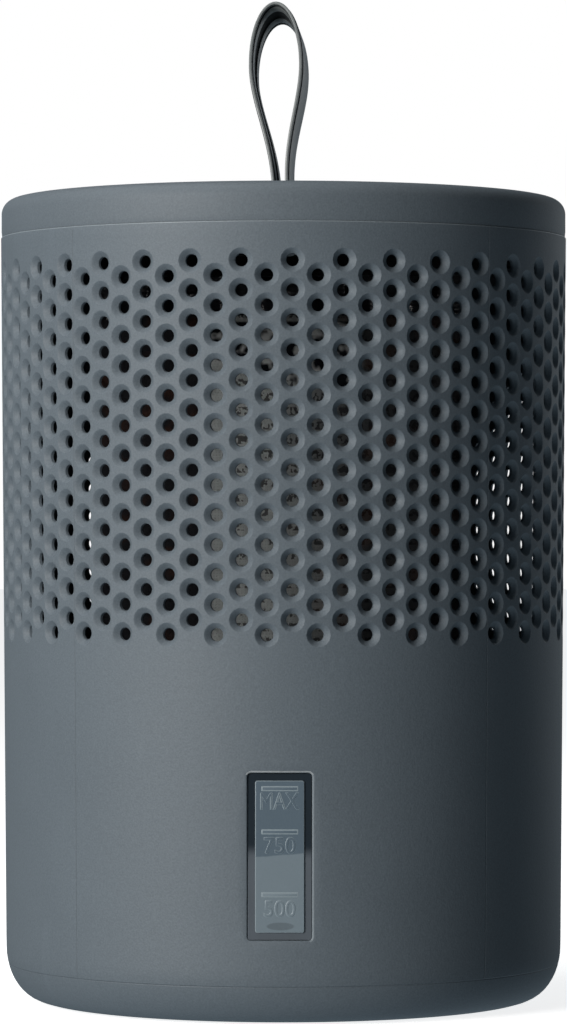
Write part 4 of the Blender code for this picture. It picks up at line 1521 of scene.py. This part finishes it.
@dataclass
class Lid(Assembly):
    """The lid: a rounded cap with the strap's slot, bosses and lugs, the plug plate under it, screws and pin."""

    rounding: float = 4.0 * MM
    drawn_in: float = 0.15 * MM
    wall: float = 2.0 * MM
    edge: float = 0.06 * MM
    seam: float = 0.27 * MM
    taper: float = 0.18 * MM
    slot_turn: float = math.radians(-8.0)
    slot_half_width: float = 2.7 * MM
    slot_half_length: float = 6.3 * MM
    well: float = 12.0 * MM
    steps: int = 216
    screw_circle: float = 40.0 * MM
    plate_thickness: float = 1.8 * MM
    skirt: float = 2.0 * MM
    stiffeners: Point2 = (56 * MM, 30 * MM)
    plate_rise: float = 5.6 * MM
    gap: float = 0.3 * MM
    boss: Point2 = (1.5 * MM, 3.5 * MM)

    def build_cap(self) -> None:
        """Build the cap and its slot."""
        low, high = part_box("lid_cap")
        radius = high.x - self.drawn_in
        top = high.z
        under = top - self.wall
        base = low.z - self.seam
        edge = self.edge
        flat = radius - self.rounding
        bend = (flat, top - self.rounding)
        profile = [(self.well, top), (flat * 0.6, top)]
        profile += arc(bend, self.rounding, 90, 0, 12)
        profile += [(radius, base + 1.5 * MM)]
        profile += arc((radius - self.taper - edge, base + edge), edge, 0, -90, 3)
        profile += arc((radius - self.wall + edge, base + edge), edge, -90, -180, 3)
        profile += arc(bend, self.rounding - self.wall, 0, 90, 5)
        profile += [(flat * 0.6, under), (self.well, under)]
        bm = bmesh.new()
        spun(bm, profile, self.steps)
        turn = Matrix.Rotation(self.slot_turn, 4, "Z")
        slots = []
        for height in (top, under):
            place = Matrix.Translation((0, 0, height)) @ turn
            outline = rounded_outline(bm, self.slot_half_width, self.slot_half_length, 0.9 * MM, 4, place)
            fill = ring(bm, height, self.well) + outline
            bmesh.ops.triangle_fill(bm, edges=fill, use_beauty=True, use_dissolve=False)
            slots += [edge for edge in outline if edge.is_valid]
        bmesh.ops.bridge_loops(bm, edges=slots)
        lip = [
            edge
            for edge in bm.edges
            if all(abs(v.co.z - top) < 1e-6 and v.co.xy.length < 8 * MM for v in edge.verts)
            and edge.calc_face_angle(0.0) > STEEP
        ]
        soften(bm, lip, 0.3 * MM, 2)
        self.piece("lid_shell", bm, LID_SHELL, Body.LID, ("lid_cap",))
        self.build_bosses(under, turn)

    def plate_levels(self) -> Point2:
        """Heights of the plug plate's underside and top."""
        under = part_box("lid_plug")[0].z + self.plate_rise
        return under, under + self.plate_thickness

    def build_bosses(self, under: float, turn: Matrix) -> None:
        """Build the screw bosses and pin lugs under the cap.

        Args:
            under: height of the cap's underside.
            turn: the strap's turn round Z.
        """
        bottom = self.plate_levels()[1] + self.gap
        bore, outside = self.boss
        roof = under + 0.5 * MM
        profile = [(bore, bottom), (outside, bottom), (outside, roof), (bore, roof), (bore, bottom)]
        bm = bmesh.new()
        for place in around(3, self.screw_circle, math.pi / 2):
            spun(bm, profile, 32, Matrix.Translation(place.translation))
        low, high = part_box("strap_pin")
        pin = (low.z + high.z) / 2
        saddle = (high.z - low.z) / 2 + self.gap
        for side in (-1, 1):
            ends = sorted((side * 6.6 * MM, side * 11.6 * MM))
            for arm in (-1, 1):
                across = sorted((arm * saddle, arm * 4.0 * MM))
                block(bm, (across[0], ends[0], bottom), (across[1], ends[1], roof), 0.25 * MM, turn)
            half = saddle + 0.4 * MM
            block(bm, (-half, ends[0], pin + saddle), (half, ends[1], roof), 0.2 * MM, turn)
        self.piece("lid_bosses", bm, LID_SHELL, Body.LID)

    def build_plug(self) -> None:
        """Build the plug plate that seats in the pot's mouth, with its ribs and keeper posts."""
        low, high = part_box("lid_plug")
        radius = high.x
        skirt_z = low.z
        plate, plate_top = self.plate_levels()
        inner = radius - self.skirt
        edge = 0.5 * MM
        profile = [(0.0, plate_top), (radius - edge, plate_top), (radius, plate_top - edge)]
        profile += arc((radius - edge, skirt_z + edge), edge, 0, -90, 3)
        profile += arc((inner + edge, skirt_z + edge), edge, -90, -180, 3)
        profile += [(inner, plate - 1.0 * MM), (inner - 0.3 * MM, plate - 0.3 * MM), (inner - 1.0 * MM, plate)]
        for reach in self.stiffeners:
            profile += [
                (reach + 0.8 * MM, plate), (reach + 0.6 * MM, plate - 0.8 * MM),
                (reach - 0.6 * MM, plate - 0.8 * MM), (reach - 0.8 * MM, plate),
            ]
        profile += [(0.0, plate)]
        bm = bmesh.new()
        spun(bm, profile, 144)
        turn = Matrix.Rotation(self.slot_turn, 4, "Z")
        pin_low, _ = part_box("strap_pin")
        for side in (-1, 1):
            ends = sorted((side * 7.2 * MM, side * 11.0 * MM))
            foot = (-0.9 * MM, ends[0], plate + 0.9 * MM)
            block(bm, foot, (0.9 * MM, ends[1], pin_low.z - self.gap), 0.2 * MM, turn)
        self.piece("lid_plug_plate", bm, LINER, Body.LID, ("lid_plug",))

    def build_screws(self) -> None:
        """Build the three screws, their rounded heads down and a six-sided socket in each."""
        for index, place in enumerate(around(3, self.screw_circle, math.pi / 2), 1):
            low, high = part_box(f"lid_screw_{index}")
            seat = low.z + 1.6 * MM
            head = (high.x - low.x) / 2
            shank = 1.2 * MM
            bm = bmesh.new()
            profile = [(0.0, high.z), (shank * 0.6, high.z), (shank, high.z - 0.5 * MM)]
            for turn_of_thread in range(5):
                height = high.z - (0.9 + 0.8 * turn_of_thread) * MM
                profile += [(shank, height), (shank * 0.82, height - 0.4 * MM)]
            profile += [
                (shank, seat), (head, seat), (head, seat - 0.7 * MM), (head * 0.93, seat - 1.15 * MM),
                (head * 0.75, seat - 1.45 * MM), (head * 0.55, low.z),
            ]
            spun(bm, profile, 36)
            socket = Matrix.Translation((0, 0, low.z))
            rim = circle_outline(bm, 1.05 * MM, 6, socket)
            fill = ring(bm, low.z, head * 0.55) + rim
            bmesh.ops.triangle_fill(bm, edges=fill, use_beauty=True, use_dissolve=False)
            floor = carried(bm, [edge for edge in rim if edge.is_valid], (1.0, 1.0), 0.9 * MM, Matrix())
            bmesh.ops.contextual_create(bm, geom=floor)
            bmesh.ops.translate(bm, vec=(*place.translation.xy, 0.0), verts=bm.verts)
            self.piece(f"lid_screw_socket_{index}", bm, STEEL, Body.LID, (f"lid_screw_{index}",))

    def build_pin(self) -> None:
        """Build the steel pin, chamfered at both ends."""
        low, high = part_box("strap_pin")
        radius = (high.z - low.z) / 2
        reach = (high.y - low.y) / 2 / math.cos(self.slot_turn) - radius * abs(math.tan(self.slot_turn))
        chamfer = 0.25 * MM
        profile = [
            (0.0, -reach), (radius - chamfer, -reach), (radius, -reach + chamfer),
            (radius, reach - chamfer), (radius - chamfer, reach), (0.0, reach),
        ]
        lay = Matrix.Translation((0, 0, (low.z + high.z) / 2)) @ Matrix.Rotation(self.slot_turn, 4, "Z")
        bm = bmesh.new()
        spun(bm, profile, 32, lay @ Matrix.Rotation(math.pi / 2, 4, "X"))
        self.piece("strap_pin_rod", bm, STEEL, Body.LID, ("strap_pin",))


@dataclass
class StrapLoop(Assembly):
    """The strap: one moulded band that goes round the pin, up through the lid and over in a tall loop."""

    width: float = 12.0 * MM
    thickness: float = 1.2 * MM
    base: float = 1.8 * MM
    widest: float = 6.8 * MM
    widest_at: float = 32.7 * MM
    crown: float = 17.0 * MM
    bend_radius: float = 130.0 * MM
    turn: float = math.radians(-8.0)
    lean: float = math.radians(-3.3)
    pin_z: float = 206.5 * MM
    hinge_z: float = 214.7 * MM
    outer_face: tuple[Point2, ...] = (
        (-6.0, 0.12), (-5.92, 0.30), (-5.75, 0.36), (-5.30, 0.36), (-5.22, 0.28), (-5.16, 0.14), (-4.70, 0.14),
        (-4.62, 0.54), (-4.40, 0.60), (0.0, 0.60), (4.40, 0.60), (4.62, 0.54), (4.70, 0.14), (5.16, 0.14),
        (5.22, 0.28), (5.30, 0.36), (5.75, 0.36), (5.92, 0.30), (6.0, 0.12),
    )
    inner_face: tuple[Point2, ...] = (
        (6.0, -0.12), (5.92, -0.36), (5.75, -0.44), (5.30, -0.44), (5.20, -0.36), (5.14, -0.12), (4.60, -0.12),
        (4.50, -0.54), (4.30, -0.60), (2.2, -0.60), (2.0, -0.54), (1.9, -0.14), (-1.9, -0.14), (-2.0, -0.54),
        (-2.2, -0.60), (-4.30, -0.60), (-4.50, -0.54), (-4.60, -0.12), (-5.14, -0.12), (-5.20, -0.36),
        (-5.30, -0.44), (-5.75, -0.44), (-5.92, -0.36), (-6.0, -0.12),
    )

    def middle_line(self) -> list[Point2]:
        """The band's closed middle line in its own plane, from the left of the pin round by the right leg.

        Returns:
            Its points, by distance across and height.
        """
        line = arc((0.0, self.pin_z), self.base, 180, 360, 12)
        rise = self.hinge_z - self.pin_z
        line += [(self.base, self.pin_z + rise * step / 5) for step in range(1, 6)]
        steps = 26
        leg = []
        for step in range(1, steps):
            part = (step / steps) ** 1.15
            spread = part * part * (3.0 - 2.0 * part)
            reach = self.base + (self.widest - self.base) * spread
            leg.append((reach, self.hinge_z + self.widest_at * step / steps))
        line += leg
        for step in range(41):
            angle = math.pi * step / 40
            height = self.hinge_z + self.widest_at + self.crown * math.sin(angle)
            line.append((self.widest * math.cos(angle), height))
        line += [(-x, z) for x, z in reversed(leg)]
        line += [(-self.base, self.hinge_z - rise * step / 5) for step in range(5)]
        return line

    def stand(self, point: Vector) -> Vector:
        """Bend the upright band backwards, lean it to one side and turn it in the lid.

        Args:
            point: a point of the straight band.

        Returns:
            Where it stands.
        """
        x, y, z = point.x, point.y, point.z - self.hinge_z
        share = min(1.0, max(0.0, (z + 2.7 * MM) / (5.4 * MM)))
        if z > 0.0:
            angle = z / self.bend_radius
            reach = self.bend_radius - y
            y = self.bend_radius - reach * math.cos(angle)
            z = reach * math.sin(angle)
        leaned = Matrix.Rotation(self.lean * share * share * (3 - 2 * share), 3, "Y") @ Vector((x, y, z))
        leaned.z += self.hinge_z
        return Matrix.Rotation(self.turn, 3, "Z") @ leaned

    def build(self) -> None:
        """Build the band by carrying its section along the middle line."""
        line = self.middle_line()
        section = [Vector((n * MM, y * MM, 0.0)) for y, n in (*self.outer_face, *self.inner_face)]
        bm = bmesh.new()
        first = None
        edges: Edges = []
        sunk: set[Vert] = set()
        floor = 0.15 * MM
        for index, (x, z) in enumerate(line):
            after = line[(index + 1) % len(line)]
            before = line[index - 1]
            along = Vector((after[0] - before[0], 0.0, after[1] - before[1])).normalized()
            outward = Vector((along.z, 0.0, -along.x))
            if first is None:
                verts = [bm.verts.new(point) for point in section]
                edges = [bm.edges.new(pair) for pair in zip(verts, verts[1:] + verts[:1])]
                first = edges
            else:
                made = extruded(bm, edges)
                verts = [
                    next(e.other_vert(vert) for e in vert.link_edges if e.other_vert(vert) in made)
                    for vert in verts
                ]
                edges = among(made)
            grooved = [abs(droplet_shadow_mask.x) < floor and abs(droplet_shadow_mask.y) < 5.5 * MM for droplet_shadow_mask in section]
            sunk.update(vert for vert, deep in zip(verts, grooved) if deep)
            for vert, point in zip(verts, section):
                vert.co = Vector((x, 0.0, z)) + outward * point.x + Vector((0.0, point.y, 0.0))
        bmesh.ops.bridge_loops(bm, edges=edges + first)
        # Faces that touch a groove's floor take the painted groove shade.
        for face in bm.faces:
            face.material_index = int(any(vert in sunk for vert in face.verts))
        for vert in bm.verts:
            vert.co = self.stand(vert.co)
        band = self.piece(
            "strap_band", bm, STRAP_FINISH, Body.STRAP, ("strap_root", "strap_loop"), sharp=40.0,
            others=(STRAP_GROOVE_SHADE,),
        )
        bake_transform(band)


# ---------------------------------------------------------------- the studio


@dataclass(frozen=True)
class Lamp:
    """A soft square light that looks at the object.

    Its azimuth is in degrees from the front towards +X, and its distance is from the axis.
    """

    name: str
    azimuth: float
    height: float
    distance: float
    size: float
    power: float
    colour: Colour

    def hang(self) -> None:
        """Put the light in its place."""
        data = bpy.data.lights.new(self.name, "AREA")
        data.size = self.size
        data.energy = self.power
        data.color = self.colour
        lamp = in_scene(self.name, data)
        angle = math.radians(self.azimuth)
        lamp.location = (self.distance * math.sin(angle), -self.distance * math.cos(angle), self.height)
        lamp.rotation_euler = (Vector((0, 0, 0.12)) - lamp.location).to_track_quat("-Z", "Y").to_euler()


@dataclass
class Studio:
    """The pale floor, soft light and camera."""

    distance: float = 1.2
    camera_height: float = 0.125
    azimuth: float = math.radians(0.73)
    tilt: float = math.radians(0.203)
    lens: float = 158.6
    lamps: tuple[Lamp, ...] = (
        Lamp("key_light", -42.0, 0.45, 1.5, 0.7, 24.5, (1.0, 0.985, 0.965)),
        Lamp("top_light", -80.0, 1.3, 0.5, 0.8, 7.5, (0.97, 0.99, 1.0)),
        Lamp("rim_light", 140.0, 0.35, 1.2, 0.6, 0.9, (0.95, 0.98, 1.0)),
    )
    fill: float = 0.042
    fill_below: float = 0.455
    fill_behind: float = 0.174
    fill_colour: Colour = (0.76, 0.93, 1.05)

    def sky(self) -> None:
        """Build the world: white to the camera, and a fill light that is stronger from below and behind."""
        world = bpy.data.worlds.new("studio")
        bpy.context.scene.world = world
        bench = Bench(world)
        bench.tree.nodes.clear()
        _, y, z = bench.axes("Generated")
        below = z.step(-0.15, -0.85) * self.fill_below
        behind = y.step(0.15, 0.85) * self.fill_behind
        light, seen = (
            bench.node("ShaderNodeBackground", {}, {"Color": colour, "Strength": strength}).outputs[0]
            for colour, strength in ((self.fill_colour, self.fill + below + behind), (WHITE, 1.0))
        )
        camera_ray = bench.node("ShaderNodeLightPath", {}, {}).outputs["Is Camera Ray"]
        shown = bench.node("ShaderNodeMixShader", {}, {0: camera_ray, 1: light, 2: seen})
        bench.node("ShaderNodeOutputWorld", {}, {"Surface": shown.outputs[0]})

    def floor(self) -> None:
        """Lay the pale floor."""
        bm = bmesh.new()
        bmesh.ops.create_grid(bm, x_segments=1, y_segments=1, size=8.0)
        mesh = bpy.data.meshes.new("studio_floor")
        bm.to_mesh(mesh)
        bm.free()
        pale = bpy.data.materials.new("pale_floor")
        Bench(pale).paint((0.80, 0.80, 0.80), 0.9, Emission_Color=WHITE, Emission_Strength=0.80)
        mesh.materials.append(pale)
        made = in_scene("studio_floor", mesh)
        made.visible_diffuse = False
        made.visible_glossy = False

    def build(self) -> None:
        """Build the studio."""
        scene = bpy.context.scene
        data = bpy.data.cameras.new("camera")
        data.lens = self.lens
        data.sensor_width = 36.0
        data.clip_end = 50.0
        camera = in_scene("camera", data)
        angle = self.azimuth
        camera.location = (self.distance * math.sin(angle), -self.distance * math.cos(angle), self.camera_height)
        camera.rotation_euler = (math.pi / 2 + self.tilt, 0.0, angle)
        scene.camera = camera
        scene.view_settings.view_transform = "Standard"
        for lamp in self.lamps:
            lamp.hang()
        self.sky()
        self.floor()


def main() -> None:
    """Build every sub-assembly in order, then the studio."""
    logging.basicConfig(level=logging.INFO, format="%(name)s: %(message)s")
    pot = Pot()
    window = LevelWindow()
    tray = DripTray()
    pouch = Pouch()
    lid = Lid()
    strap = StrapLoop()
    steps: tuple[Callable[[], None], ...] = (
        pot.build_shell, pot.build_inside, pot.build_feet,
        window.build_pane, window.build_scale, window.dress_hidden,
        tray.build, pouch.build,
        lid.build_cap, lid.build_plug, lid.build_screws, lid.build_pin,
        strap.build, Studio().build,
    )
    for step in steps:
        step()


if __name__ == "__main__":
    main()
